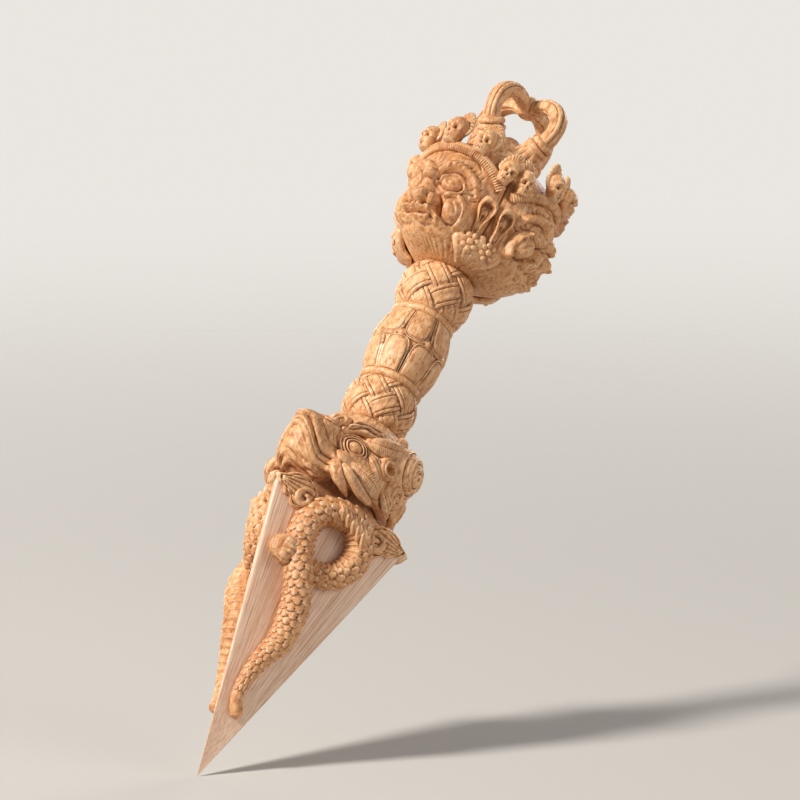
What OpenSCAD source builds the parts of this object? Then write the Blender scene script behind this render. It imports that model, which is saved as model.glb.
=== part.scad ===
// Three-sided ritual peg carved in pale wood: a blade with a snake on each face, a water monster's
// head that holds the blade, a turned and carved handle, three wrathful heads with skull crowns and
// a four-pronged finial. The blocks stand on one axis and are threaded on a hidden dowel.
// Azimuth 0 is the front ridge, towards -Y, and it grows towards +X.

/* [Blade] */
// Length from the point up to the three corners
blade_len = 65; // [55:1:80]
// Distance from the axis to a corner at the widest place
blade_corner_r = 19.2; // [16:0.2:21]
// Width of the narrow flat along each ridge, at the widest place
ridge_w = 1.2; // [0.6:0.1:2]
// Height of the hollow shoulder above the corners
shoulder_h = 10; // [8:0.5:13]
// Radius of the blade's neck, where the shoulder ends
neck_r = 7.6; // [6.6:0.1:8.4]
// Thickness of the leaves that lie on the blade's corners
leaf_t = 1.3; // [0.8:0.1:2]
// Length of a corner leaf along the blade's upper edge
leaf_len = 6.4; // [5:0.2:7]

/* [Snakes] */
// Radius of a snake's body at its thickest
snake_r = 3.2; // [2.4:0.1:3.6]
// Radius at the end of the tail
snake_tail_r = 0.9; // [0.6:0.1:1.4]
// Height of the body's centre line above the blade's face, as a share of its radius
snake_lift = 0.35; // [0.2:0.05:0.6]
// How far the body rises where it crosses over its own neck
snake_rise = 1.6; // [1:0.1:2.4]
// Length of the snake's head
snake_head_l = 7; // [5:0.5:8]

/* [Water monster] */
// Height of the head block above the blade's neck
makara_h = 15; // [13:0.5:18]
// Radius of the skull at its sides and back
makara_r = 12.6; // [11.6:0.2:14]
// Reach of the snout from the axis
snout_reach = 21; // [18:0.2:22]
// How far the jaws hang below the blade's neck
jaw_drop = 4; // [3:0.2:5]
// How far the open mouth rises above the blade's neck under the snout
mouth_rise = 2.6; // [1.6:0.2:3.6]
// Radius of the rolled lip round the open mouth
lip_r = 1; // [0.8:0.1:1.3]
// Radius of an eyeball
makara_eye_r = 3; // [2.4:0.1:3.4]
// Radius of a fang at its root
fang_r = 1.6; // [1.2:0.1:2]
// Length of a fang
fang_l = 5; // [4:0.2:5.6]
// Radius of the largest curls of the mane
mane_r = 4.2; // [3.2:0.1:5]

/* [Handle] */
// Largest radius of the lower knot
lower_knot_r = 8.1; // [7:0.1:9.5]
// Height of the lower knot between its two seats
lower_knot_h = 10.5; // [9:0.5:14]
// Largest radius of the upper knot
upper_knot_r = 8.5; // [7:0.1:9.5]
// Height of the upper knot between its two seats
upper_knot_h = 11.5; // [9:0.5:14]
// Radius at which the handle's blocks meet
seat_r = 5.9; // [5.4:0.1:7]
// Radius of each collar over its rounded edge
collar_r = 7.3; // [6.8:0.1:8.4]
// Height of a collar
collar_h = 1.8; // [1.2:0.1:2.6]
// Largest radius of the lotus barrel
barrel_r = 8.6; // [7.4:0.1:10]
// Height of the lotus barrel
barrel_h = 15.5; // [13:0.5:20]
// Number of petals in each row of the barrel
petals = 8; // [6:1:10]
// Depth of the carved bands and petals
carve_d = 0.5; // [0.3:0.05:0.8]

/* [Heads] */
// Height of the head block from the chins to the top of the dome
head_h = 28.5; // [26:0.5:32]
// Radius of the head block at a cheek
head_r = 18.2; // [17:0.1:20]
// Radius of the valley between two heads
valley_r = 13.4; // [12.6:0.1:15.6]
// Radius at the bottom and the top of the head block
head_seat_r = 8.8; // [8:0.1:9.6]
// How far the noses stand out of the faces
nose_lift = 2.1; // [1.4:0.1:3]
// Depth of relief of the faces
face_relief = 1.9; // [1.2:0.1:2.4]
// Height of an ear with its long lobe
ear_h = 11.4; // [10:0.2:14]
// Width of the rim round the ear's hollow
ear_rim = 0.8; // [0.6:0.1:1.2]
// Thickness of an ear
ear_t = 1.6; // [1.4:0.1:2.2]
// Radius of a flower earring
earring_r = 2.5; // [2:0.1:2.8]
// Height of the fluted lock of hair under each pair of ears
lock_h = 9; // [7:0.5:11]
// How far a chin stands above the upper knot
chin_rise = 2; // [0:0.2:3]
// How far the jaw line in the valleys between the heads stands above the upper knot
jaw_rise = 7; // [4:0.5:8]

/* [Crowns] */
// Width of a skull
skull_w = 5.4; // [4.4:0.1:5.8]
// Height of a skull without its fan leaf
skull_h = 6; // [5:0.1:6.6]
// Height of the fan leaf over a skull
fan_h = 2.8; // [2:0.1:3.6]
// Angle between two skulls of one crown
skull_step = 25; // [23:0.5:27]
// Radius of the twisted band that carries the skulls
band_r = 1.1; // [0.8:0.1:1.4]

/* [Finial] */
// Height of the lotus hub up to the feet of the prongs
hub_h = 8.5; // [7:0.5:11]
// Distance from the axis to the foot of a prong
arm_reach = 9.3; // [8.4:0.1:10.4]
// Lean of the hub's arms away from the axis
arm_lean = 38; // [30:1:44]
// Radius of the arc that a prong follows
prong_arc_r = 5.9; // [5.4:0.1:7]
// Thickness of a prong
prong_t = 4; // [3.4:0.1:4.6]
// Radius of the collar at the foot of a prong
foot_r = 2.8; // [2.4:0.1:3.2]
// Radius of the button that closes the prongs
button_r = 2; // [1.8:0.1:2.4]

/* [Joinery] */
// Radius of the dowel that runs through the blocks
dowel_r = 2.5; // [2:0.1:3]
// Depth of the dowel's socket in the blade and in the finial's hub
socket_d = 7; // [5:0.5:8]
// Gap round the dowel for the glue
glue_gap = 0.1; // [0.05:0.05:0.2]

/* [Hidden] */
wood = "#c98f5c";
wood_light = "#d8a872";
wood_dark = "#b57b4b";
// Faces of the blade lie between the ridges, and heads stand over the ridges
face_az = [60, 180, 300];
head_az = [0, 120, 240];
prong_az = [0, 90, 180, 270];
// The blade's flats: distance of their widest place from the axis, and their lean
flat_r = blade_corner_r / 2 + ridge_w * sin(60) / 2;
flat_lean = atan(flat_r / blade_len);
// Heights of the seats between the blocks, from the blade's point upwards
neck_z = blade_len + shoulder_h;
knot1_z = neck_z + makara_h;
collar1_z = knot1_z + lower_knot_h;
barrel_z = collar1_z + collar_h;
collar2_z = barrel_z + barrel_h;
knot2_z = collar2_z + collar_h;
head_z = knot2_z + upper_knot_h;
hub_z = head_z + head_h;
prong_z = hub_z + hub_h;
// Upper edge of a blade's face: half its width, and its distance from the point
face_half = blade_corner_r * sin(60) - ridge_w / 4;
face_len = blade_len / cos(flat_lean);
// Bore for the dowel
bore_r = dowel_r + glue_gap;
// Route of a snake from the tail to the neck, in hundredths of the face's half width and length
snake_marks = [
    [9, 23], [-5, 29], [-6, 37], [0, 45], [9, 53], [6, 61], [-5, 69], [-21, 77], [-33, 84],
    [-36, 91], [-26, 96.5], [-6, 99], [18, 99], [37, 95], [44, 88.5], [34, 82], [12, 78.5],
    [-16, 78], [-40, 78]
];
snake_route = [for (m = snake_marks) [m[0] * face_half / 100, m[1] * face_len / 100]];

// A point at an azimuth, a radius and a height
function at(a, r, z) = [r * sin(a), -r * cos(a), z];
// A smooth hill of height 1 that ends at a distance w from c
function hill(x, c, w) = abs(x - c) < w ? pow(1 - pow((x - c) / w, 2), 2) : 0;
function mix(a, b, t) = a + (b - a) * t;
function clamp(t) = min(1, max(0, t));
function ease(t) = let (c = clamp(t)) c * c * (3 - 2 * c);
function unit(v) = v / norm(v);
// A point of a smooth curve through the given points, at the step u after point i
function curve(p, i, u) = let (
        n = len(p) - 1,
        a = p[max(0, i - 1)], b = p[i], c = p[min(n, i + 1)], d = p[min(n, i + 2)]
    ) 0.5 * (2 * b + (c - a) * u + (2 * a - 5 * b + 4 * c - d) * u * u
        + (3 * b - a - 3 * c + d) * u * u * u);
function smooth_path(p, steps) = [
    for (i = [0:len(p) - 2], s = [0:steps - 1]) curve(p, i, s / steps),
    p[len(p) - 1]
];

// A closed solid through rings of points that run anticlockwise seen from above
module loft(rings, low, high) {
    n = len(rings[0]);
    m = len(rings);
    points = concat([low], [for (ring = rings) each ring], [high]);
    function id(i, j) = 1 + i * n + j % n;
    polyhedron(points, concat(
        [for (j = [0:n - 1]) [0, id(0, j), id(0, j + 1)]],
        [for (i = [0:m - 2], j = [0:n - 1]) each [
            [id(i, j), id(i + 1, j), id(i + 1, j + 1)],
            [id(i, j), id(i + 1, j + 1), id(i, j + 1)]
        ]],
        [for (j = [0:n - 1]) [1 + m * n, id(m - 1, j + 1), id(m - 1, j)]]
    ));
}

// A turned block with carved relief: radius is a function of azimuth and height
module relief(levels, steps, radius) {
    rings = [for (z = levels) [for (i = [0:steps - 1]) let (a = 360 * i / steps) at(a, radius(a, z), z)]];
    loft(rings, [0, 0, levels[0]], [0, 0, levels[len(levels) - 1]]);
}

// A tube of varying radius along points in space, flattened by squash across its side direction
module tube(path, radii, sides = 8, up = [0, 0, 1]) {
    n = len(path);
    rings = [for (i = [0:n - 1]) let (
            t = unit(path[min(n - 1, i + 1)] - path[max(0, i - 1)]),
            b = unit(cross(t, up)),
            w = cross(b, t)
        ) [for (j = [0:sides - 1]) let (a = 360 * j / sides)
            path[i] + radii[i] * (cos(a) * w + sin(a) * b)]];
    loft(rings, path[0], path[n - 1]);
}

// A bent bar of beads through points in space
module chain(path, radii, sides) {
    for (i = [0:len(path) - 2]) hull() for (k = [i, i + 1])
        translate(path[k]) sphere(r = radii[k], $fn = sides);
}

// Stands things on a blade's face: X across it, Y up it from the point, Z out of it
module on_face(az) rotate([0, 0, az]) rotate([90 + flat_lean, 0, 0]) children();

// Stands things on the mantle: -Y outwards at the azimuth, at a radius and a height
module on_mantle(az, r, z) rotate([0, 0, az]) translate([0, -r, z]) children();

module bore() translate([0, 0, neck_z - socket_d])
    cylinder(r = bore_r, h = hub_z - neck_z + socket_d * 1.6, $fn = 48);

// Ring of the blade: two points at each of its three ridges
function blade_ring(r, w, z) = [for (k = head_az, s = [-1, 1]) at(k, r, z) + at(k + 90, s * w / 2, 0)];

module blade_solid() {
    steps = 5;
    rings = [for (i = [0:steps]) let (t = i / steps, u = pow(1 - t, 2.2))
        blade_ring(mix(neck_r, blade_corner_r, u), mix(neck_r * 0.9, ridge_w, u), mix(blade_len, neck_z, t))];
    loft(rings, [0, 0, 0], [0, 0, neck_z]);
}

module blade() {
    color(wood_light) difference() {
        blade_solid();
        bore();
    }
}

// Leaf with a curled end, flat on the face in its upper corner
module leaf_outline() {
    scroll = leaf_len * 0.26;
    translate([face_half, face_len]) union() {
        polygon(leaf_len * [[-0.06, -0.2], [-0.3, -0.42], [-0.55, -0.3], [-0.75, -0.1], [-0.7, 0], [-0.06, 0]]);
        translate([scroll - leaf_len, -scroll]) circle(r = scroll, $fn = 40);
        translate([-leaf_len * 0.48, -scroll * 1.1]) circle(r = scroll, $fn = 40);
    }
}

module corner_leaves() {
    color(wood) for (az = face_az, side = [0, 1]) on_face(az) mirror([side, 0, 0])
        linear_extrude(leaf_t) leaf_outline();
}

// Snake in the frame of its face: q runs from 0 at the tail to 1 at the neck
function snake_radius(q) = mix(snake_tail_r, snake_r, ease(q / 0.34)) * (1 - 0.22 * ease((q - 0.78) / 0.2));
function snake_height(q) = snake_lift * snake_radius(q) + snake_rise * hill(q, 0.39, 0.13);

module snake_head() {
    end = snake_route[len(snake_route) - 1];
    r = snake_r * 0.84;
    l = snake_head_l;
    hull() {
        translate([end[0], end[1], r * 0.5]) sphere(r = r, $fn = 6);
        translate([end[0] - l * 0.4, end[1], r * 0.55]) sphere(r = r * 1.1, $fn = 6);
    }
    hull() {
        translate([end[0] - l * 0.4, end[1], r * 0.55]) sphere(r = r, $fn = 6);
        translate([end[0] - l * 0.88, end[1], r * 0.35]) sphere(r = r * 0.34, $fn = 5);
    }
    // Brows
    for (s = [-1, 1]) hull() {
        translate([end[0] - l * 0.3, end[1] + s * r * 0.7, r * 1.2]) sphere(r = r * 0.3, $fn = 4);
        translate([end[0] - l * 0.62, end[1] + s * r * 0.55, r * 1.05]) sphere(r = r * 0.22, $fn = 4);
    }
}

module snake(az) {
    path = smooth_path(snake_route, 2);
    last = len(path) - 1;
    split = round(last * 0.78);
    spine = [for (i = [0:last]) [path[i][0], path[i][1], snake_height(i / last)]];
    radii = [for (i = [0:last]) snake_radius(i / last)];
    color(wood) on_face(az) difference() {
        union() {
            tube([for (i = [0:split]) spine[i]], [for (i = [0:split]) radii[i]], 6);
            tube([for (i = [split - 1:last]) spine[i]],
                [for (i = [split - 1:last]) radii[i] * (i > split ? 1 : 0.85)], 6);
            snake_head();
        }
        translate([-face_half * 2, 0, -snake_r * 2]) cube([face_half * 4, face_len * 1.3, snake_r * 2]);
    }
}

module snake_front_right() { snake(face_az[0]); }
module snake_back() { snake(face_az[1]); }
module snake_front_left() { snake(face_az[2]); }

// Lower edge of the jaws: it hangs beside the snout and rises under it, where the mouth is open
function jaw_z(a) = neck_z - jaw_drop + (jaw_drop + mouth_rise) * hill(a, 0, 19);
// Nostril, brow, cheek and the root of the mane, in the form of the faces' features
makara_marks = [
    [20, 41, 13, 19, 0.15], [40, 60, 22, 16, 0.12], [66, -10, 26, 30, 0.1], [120, 20, 40, 40, 0.08]
];
function makara_radius(a, z) = let (
        up = z - neck_z,
        t = clamp((z - jaw_z(a)) / (knot1_z - jaw_z(a))),
        side = mix(seat_r, makara_r, pow(1 - pow(t, 3.2), 0.6)),
        beak = hill(a, 0, 27) * (1 - ease(up / makara_h * 3 - 1)),
        cheek = 0.42 * hill(abs(a), 31, 30) * (1 - ease(up / makara_h * 2.5 + 0.2))
    ) side + (snout_reach - makara_r) * (beak + cheek)
        + (t < 1 ? features(makara_marks, a, up, makara_h, makara_r) : 0);

// Outline at an azimuth, from the roof of the mouth round the lip to the top
function makara_profile(a) = let (
        low = jaw_z(a),
        lip = makara_radius(a, low),
        inner = neck_r * 1.13,
        open = hill(a, 0, 34)
    ) concat([
        [neck_r * 0.6, neck_z],
        [inner, neck_z],
        [mix(inner * 1.08, mix(inner, lip, 0.62), open),
            mix(neck_z - jaw_drop * 0.35, max(neck_z, low) + lip_r, open)],
        [mix(inner * 1.16, lip - lip_r, open), low]
    ], [for (s = [0.07, 0.2, 0.34, 0.47, 0.6, 0.72, 0.83, 0.93, 1]) let (z = mix(low, knot1_z, s))
        [makara_radius(a, z), z]]);

module makara_solid() {
    steps = 32;
    // The azimuths stand closest together at the snout
    turn = [for (i = [0:steps - 1]) let (t = 360 * i / steps, a = t - 28 * sin(t)) a > 180 ? a - 360 : a];
    outline = [for (a = turn) makara_profile(a)];
    rings = [for (k = [0:len(outline[0]) - 1])
        [for (i = [0:steps - 1]) at(turn[i], outline[i][k][0], outline[i][k][1])]];
    loft(rings, [0, 0, neck_z], [0, 0, knot1_z]);
}

module makara_head() {
    color(wood) difference() {
        makara_solid();
        bore();
    }
}

// What lies on the monster's head is carved to seat on it
module on_makara() {
    difference() {
        union() children();
        makara_solid();
        translate([0, 0, blade_len]) cylinder(r = neck_r * 1.35, h = knot1_z - blade_len, $fn = 24);
    }
}

// Rolled lip round the edge of the open mouth, from one corner over the snout to the other
module lip_roll() {
    path = [for (a = [-46, -36, -26, -17, -10, -4, 4, 10, 17, 26, 36, 46])
        at(a, makara_radius(a, jaw_z(a)) - lip_r * 0.2, jaw_z(a) + lip_r * 0.4)];
    chain(path, [for (p = path) lip_r], 4);
}
module makara_lip() {
    color(wood_light) on_makara() lip_roll();
}

// Eyeball in a rolled lid
eye_az = 39;
module makara_eyes() {
    z = neck_z + makara_h * 0.28;
    color(wood_light) on_makara() for (s = [-1, 1])
        on_mantle(s * eye_az, makara_radius(eye_az, z) - makara_eye_r * 0.25, z) {
            sphere(r = makara_eye_r, $fn = 10);
            chain([for (k = [0:7]) makara_eye_r * [sin(k * 360 / 7), 0.1, cos(k * 360 / 7)]],
                [for (k = [0:7]) makara_eye_r * 0.28], 4);
        }
}

// Fangs and tusks: both leave the lip, curve outwards and point back along the jaw
module makara_fangs() {
    color(wood_light) difference() {
        on_makara() for (s = [-1, 1], k = [0, 1]) {
            path = [for (q = [0:0.5:1]) at(s * (33 + 12 * k + (15 + 5 * k) * q),
                makara_r * (1.16 - 0.1 * k + 0.11 * hill(q, 0.4, 0.7) - 0.08 * q * (1 - k)),
                neck_z - jaw_drop * 0.6 - fang_l * (1 - 0.2 * k) * q)];
            chain(path, [for (q = [0:0.5:1]) fang_r * (1 - 0.75 * q * q)], 5);
        }
        lip_roll();
    }
}

// Ear, cheek leaf and two brow tufts: azimuth, radius and height of both ends, and their radii
makara_tufts = [
    [[72, 1.02, 0.3], [94, 1.2, 0.42], 0.19, 0.11], [[66, 1.08, -0.08], [92, 1.02, -0.3], 0.18, 0.1],
    [[26, 1.18, 0.5], [58, 1, 0.6], 0.13, 0.1], [[56, 0.98, 0.66], [86, 0.96, 0.7], 0.14, 0.1]
];
module makara_ears() {
    color(wood) on_makara() for (s = [-1, 1], p = makara_tufts) hull() for (i = [0, 1])
        translate(at(s * p[i][0], p[i][1] * makara_r, neck_z + p[i][2] * makara_h))
            sphere(r = p[2 + i] * makara_r, $fn = 6);
}

// Curls of the mane at the sides and the back: azimuth, height and size of each
makara_curls = [[112, 0.62, 1], [114, 0.02, 0.95], [150, 0.42, 0.95], [164, -0.08, 0.85]];
module makara_mane() {
    color(wood) on_makara() for (s = [-1, 1], c = makara_curls)
        on_mantle(s * c[0], makara_r * 0.93, neck_z + c[1] * makara_h) hull() {
            sphere(r = mane_r * c[2], $fn = 6);
            translate([0, -mane_r * 0.3, 0]) sphere(r = mane_r * c[2] * 0.84, $fn = 5);
        }
}

// Section of a ball between two seats
function ball(z, z0, h, r) = let (t = (z - z0) / h) mix(seat_r, r, pow(max(0, 4 * t * (1 - t)), 0.6));

// Woven bands: the share of the full relief at an azimuth and a height
function weave(a, t, count) = let (
        u = a * count / 360 + t * 1.5,
        v = a * count / 360 - t * 1.5,
        over = (floor(u) + floor(v)) % 2 == 0 ? u : v,
        d = abs(over - floor(over) - 0.5) * 2
    ) d < 0.78 ? 1 - 0.3 * pow(d / 0.78, 4) : 0.1;

module knot(z0, h, r) {
    levels = [for (i = [0:9]) z0 + h * i / 9];
    color(wood) difference() {
        relief(levels, 36, function(a, z) ball(z, z0, h, r - carve_d)
            + (z > z0 && z < z0 + h ? carve_d * weave(a, (z - z0) / h, 6) : 0));
        bore();
    }
}

module lower_knot() { knot(knot1_z, lower_knot_h, lower_knot_r); }
module upper_knot() { knot(knot2_z, upper_knot_h, upper_knot_r); }

module collar(z0) {
    color(wood_light) rotate_extrude($fn = 72) translate([0, z0]) union() {
        translate([bore_r, 0]) square([collar_r - collar_h / 2 - bore_r, collar_h]);
        translate([collar_r - collar_h / 2, collar_h / 2]) circle(r = collar_h / 2, $fn = 32);
    }
}

module lower_collar() { collar(collar1_z); }
module upper_collar() { collar(collar2_z); }

// Two rows of petals that meet at the barrel's waist, with beads between their tips
function petal(a, t) = let (
        row = t < 0.52 ? 0 : 1,
        q = row == 0 ? t / 0.52 : (1 - t) / 0.48,
        x = (a * petals / 360 + (row == 0 ? 0 : 0.5)),
        d = abs(x - floor(x) - 0.5) * 2,
        width = pow(max(0, 1 - pow(q, 3)), 0.5)
    ) d < width * 0.88 ? 1 - 0.5 * pow(d / max(width, 0.1), 2) : 0;

module lotus_barrel() {
    levels = [for (i = [0:10]) barrel_z + barrel_h * i / 10];
    color(wood) difference() {
        relief(levels, 40, function(a, z) let (t = (z - barrel_z) / barrel_h)
            mix(seat_r, barrel_r - carve_d, pow(max(0, sin(180 * clamp(t * 0.94 + 0.03))), 0.7))
            + (t > 0 && t < 1 ? carve_d * petal(a, t) : 0));
        bore();
    }
}

// Features of a face: side angle, height over the chin, half width in degrees, half height, lift.
// Heights are in hundredths of the block's height, and lifts are shares of the depth of relief.
nose = [[0, 39, 11, 20, 1], [0, 33, 16, 9, 0.7]];
face_common = [
    [0, 7.6, 16, 11.7, 0.7], [15, 53.1, 12, 9.4, 1], [16, 66, 19, 8, 1.1], [27, 33.1, 17, 15.9, 1],
    [0, 74.5, 7, 9, 0.6], [14, 42.8, 7, 7, -0.6], [44, 41.4, 14, 31, -0.4], [0, 84.8, 70, 5.4, 0.5]
];
closed_mouth = [[0, 20, 24, 6, 0.7], [13, 24, 13, 5.5, 0.6]];
open_mouth = [[0, 26, 24, 5.2, 0.7], [0, 18.5, 20, 7, -1.6], [0, 11, 17, 5.2, 0.7]];

function feature(f, a, z, h) = f[4] * hill(z, f[1] * h / 100, f[3] * h / 100)
    * (hill(a, f[0], f[2]) + (f[0] > 0 ? hill(a, -f[0], f[2]) : 0));
function features(list, a, z, h, depth, i = 0) = i == len(list) ? 0
    : depth * feature(list[i], a, z, h) + features(list, a, z, h, depth, i + 1);

// Surface of one head at an angle from its nose and a height
function head_radius(a, z, mouth) = let (
        jaw = mix(chin_rise, jaw_rise, pow(a / 60, 2)),
        t = (z - head_z - jaw) / (head_h - jaw),
        body = t > 0 ? pow(max(0, 1 - pow(abs(2 * t - 0.9) / 1.1, 3)), 0.5) : 0,
        cheek = mix(valley_r, head_r, cos(a * 1.35))
    ) mix(head_seat_r, cheek, clamp(body)) + (t > 0 && t < 1
        ? features(nose, a, z - head_z, head_h, nose_lift)
        + features(concat(face_common, mouth), a, z - head_z, head_h, face_relief) : 0);

head_across = 18;
head_levels = [for (i = [0:20]) head_z + head_h * i / 20];
module head_solid(az, mouth) {
    rings = [for (z = head_levels) concat([[0, 0, z]], [for (i = [0:head_across])
        let (a = -60 + 120 * i / head_across) at(a, head_radius(a, z, mouth), z)])];
    rotate([0, 0, az]) loft(rings, at(0, head_seat_r / 2, head_z), at(0, head_seat_r / 2, hub_z));
}

// The three heads as one solid, for what is carved to seat on them
module head_block() {
    relief(head_levels, head_across * 3, function(a, z) let (turn = (a + 60) % 360)
        head_radius(turn % 120 - 60, z, turn < 120 ? closed_mouth : open_mouth));
}

// The same surface about the three valleys only, behind what stands between two heights
module valleys(bottom, top) {
    side = [for (i = [0:head_across]) -60 + 120 * i / head_across];
    last = len(head_levels) - 1;
    low = floor((bottom - head_z) / head_h * last);
    high = ceil((top - head_z) / head_h * last);
    for (az = face_az) rotate([0, 0, az]) loft([for (k = [low:high]) let (z = head_levels[k]) concat(
            [[0, 0, z]],
            [for (a = side) if (a > 39) at(a - 60, head_radius(a, z, closed_mouth), z)],
            [for (a = side) if (a > -60 && a < -39) at(a + 60, head_radius(a, z, closed_mouth), z)]
        )], at(0, head_seat_r / 2, head_levels[low]), at(0, head_seat_r / 2, head_levels[high]));
}

module head(az, mouth) {
    color(wood) difference() {
        head_solid(az, mouth);
        bore();
    }
}

module head_front() { head(head_az[0], closed_mouth); }
module head_right() { head(head_az[1], open_mouth); }
module head_left() { head(head_az[2], open_mouth); }

// Long ear: a plate with a hollow in it and a lobe below
ear_az = 50;
ear_z = head_z + head_h * 0.36;
ear_lean = 8;
ear_w = ear_h * 0.17;
lobe_y = -ear_h * 0.45 - earring_r * 0.4;
ear_back = head_radius(ear_az, ear_z, closed_mouth) - ear_t * 0.1;
module ear_outline(edge) {
    half = [[0.2, 0.5], [0.7, 0.42], [1, 0.22], [0.9, 0], [0.62, -0.2], [0.5, -0.45]];
    w = ear_w - edge;
    polygon([for (s = [1, -1], i = [0:5]) let (p = half[s > 0 ? i : 5 - i])
        [s * w * p[0], edge > 0 ? max(p[1] * (ear_h - edge * 2), ear_h * -0.2) : p[1] * ear_h]]);
}
module ear() {
    rotate([90, 0, 0]) difference() {
        linear_extrude(ear_t) ear_outline(0);
        translate([0, 0, ear_t * 0.65]) linear_extrude(ear_t) ear_outline(ear_rim);
    }
}
module ears() {
    color(wood_light) difference() {
        for (az = head_az, s = [-1, 1])
            on_mantle(az + s * ear_az, ear_back, ear_z) rotate([ear_lean, 0, 0]) ear();
        valleys(ear_z - ear_h / 2, ear_z + ear_h / 2);
    }
}

// Flower earring: five petals round a boss, on the end of the ear's lobe
module flower(r) {
    polygon([for (i = [0:19]) let (w = 18 * i) r * (0.82 + 0.18 * cos(5 * w)) * [cos(w), sin(w)]]);
}
module earrings() {
    color(wood_light) for (az = head_az, s = [-1, 1])
        on_mantle(az + s * ear_az, ear_back, ear_z) rotate([90 + ear_lean, 0, 0]) translate([0, lobe_y, ear_t]) {
            rotate([0, 0, 18]) linear_extrude(earring_r * 0.48) flower(earring_r);
            cylinder(r = earring_r * 0.36, h = earring_r * 0.72, $fn = 24);
        }
}

// Fluted lock of hair in the hollow under each valley, spreading upwards
module hair_locks() {
    color(wood) difference() {
        for (az = face_az, k = [-1:1]) on_mantle(az, head_seat_r - lock_h * 0.07, head_z) hull() {
            translate(lock_h * [k * 0.09, 0, 0.09]) sphere(r = lock_h * 0.09, $fn = 4);
            translate(lock_h * [k * 0.27, 0.04 * abs(k) - 0.51, 0.8 - 0.08 * abs(k)])
                sphere(r = lock_h * 0.17, $fn = 5);
        }
        head_block();
    }
}

// Skull with a fan leaf over it, facing -Y, standing on its chin
module skull() {
    w = skull_w / 2;
    hull() {
        translate([0, 0, skull_h - w]) sphere(r = w, $fn = 6);
        translate([0, -w * 0.3, w * 0.45]) sphere(r = w * 0.5, $fn = 4);
    }
    hull() for (q = [0.3, 1]) translate([0, w * 0.5, skull_h - w + q * (fan_h + w * 0.2)]) rotate([90, 0, 0])
        cylinder(r = w * (1.2 - 0.45 * q), h = 1, $fn = 5);
}

// Crown: five skulls on a band that arches over the brow from ear to ear
crown_z = head_z + head_h * 0.82;
crown_end = 59.6;
function crown_drop(a) = head_h * 0.18 * pow(abs(a) / 52, 2.2);
function band_point(a, mouth, out) = let (z = crown_z - crown_drop(a)) at(a, head_radius(a, z, mouth) + out, z);
module crown(az, mouth) {
    arc = [for (a = [-54:12:54]) band_point(a, mouth, 0.1)];
    color(wood_light) difference() {
        union() {
            rotate([0, 0, az]) tube(arc, [for (p = arc) band_r], 5);
            for (k = [-2:2]) let (a = k * skull_step, p = band_point(a, mouth, skull_w * 0.2))
                rotate([0, 0, az]) translate(p) rotate([0, k * 9, a]) rotate([-10, 0, 0])
                scale(1.2 - 0.1 * abs(k)) skull();
        }
        head_block();
        for (s = [-1, 1]) rotate([0, 0, az + s * crown_end])
            translate([s > 0 ? 0 : -60, -60, 0]) cube([60, 120, prong_z]);
    }
}
module crown_front() { crown(head_az[0], closed_mouth); }
module crown_right() { crown(head_az[1], open_mouth); }
module crown_left() { crown(head_az[2], open_mouth); }

// Stands things on the end of a leaning arm of the hub: Z along the arm
module on_arm(az) on_mantle(az, arm_reach, prong_z) rotate([arm_lean, 0, 0]) children();

// Stepped lotus hub with four leaning arms, each with a collar for the foot of its prong
module finial_hub() {
    collar = prong_t * 0.35;
    color(wood) difference() {
        union() {
            rotate_extrude($fn = 72) polygon([
                [0, hub_z], [head_seat_r, hub_z], [head_seat_r, hub_z + hub_h * 0.16],
                [head_seat_r * 0.82, hub_z + hub_h * 0.3], [head_seat_r * 0.66, hub_z + hub_h * 0.36],
                [head_seat_r * 0.66, hub_z + hub_h * 0.5], [0, prong_z]
            ]);
            for (az = prong_az) on_arm(az) {
                translate([0, 0, -collar]) cylinder(r = foot_r, h = collar, $fn = 48);
                translate([0, 0, -hub_h]) cylinder(r1 = foot_r * 1.1, r2 = foot_r * 0.86, h = hub_h - collar, $fn = 48);
            }
        }
        bore();
        translate([0, 0, hub_z - hub_h]) cylinder(r = head_seat_r * 2, h = hub_h, $fn = 48);
    }
}

// Centre of the arc that a prong follows, in the plane of the prong
arc_x = arm_reach - prong_arc_r * cos(arm_lean);
arc_z = prong_z + prong_arc_r * sin(arm_lean);
// Prong: it leaves its arm in line, swells outwards and comes in to the axis, where four meet
module prong(az) {
    inner = acos(-arc_x / prong_arc_r);
    reach = arm_reach + prong_t * 2;
    color(wood_light) intersection() {
        rotate([0, 0, az]) translate([0, -arc_x, arc_z]) rotate([90, 0, -90])
            rotate_extrude(angle = arm_lean + inner, start = -arm_lean, $fn = 96)
            translate([prong_arc_r, 0]) circle(d = prong_t, $fn = 32);
        rotate([0, 0, az]) linear_extrude(arc_z + prong_arc_r + prong_t)
            polygon([[0, 0], [-reach, -reach], [reach, -reach]]);
    }
}
module prong_front() { prong(prong_az[0]); }
module prong_right() { prong(prong_az[1]); }
module prong_back() { prong(prong_az[2]); }
module prong_left() { prong(prong_az[3]); }

// Button over the meeting of the prongs
module finial_button() {
    saddle_z = arc_z + sqrt(pow(prong_arc_r + prong_t / 2, 2) - pow(arc_x, 2));
    color(wood_light) difference() {
        translate([0, 0, saddle_z]) sphere(r = button_r, $fn = 48);
        for (az = prong_az) prong(az);
    }
}

module dowel() {
    color(wood_dark) translate([0, 0, neck_z - socket_d + glue_gap])
        cylinder(r = dowel_r, h = hub_z - neck_z + socket_d * 1.6 - glue_gap * 2, $fn = 48);
}

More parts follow.
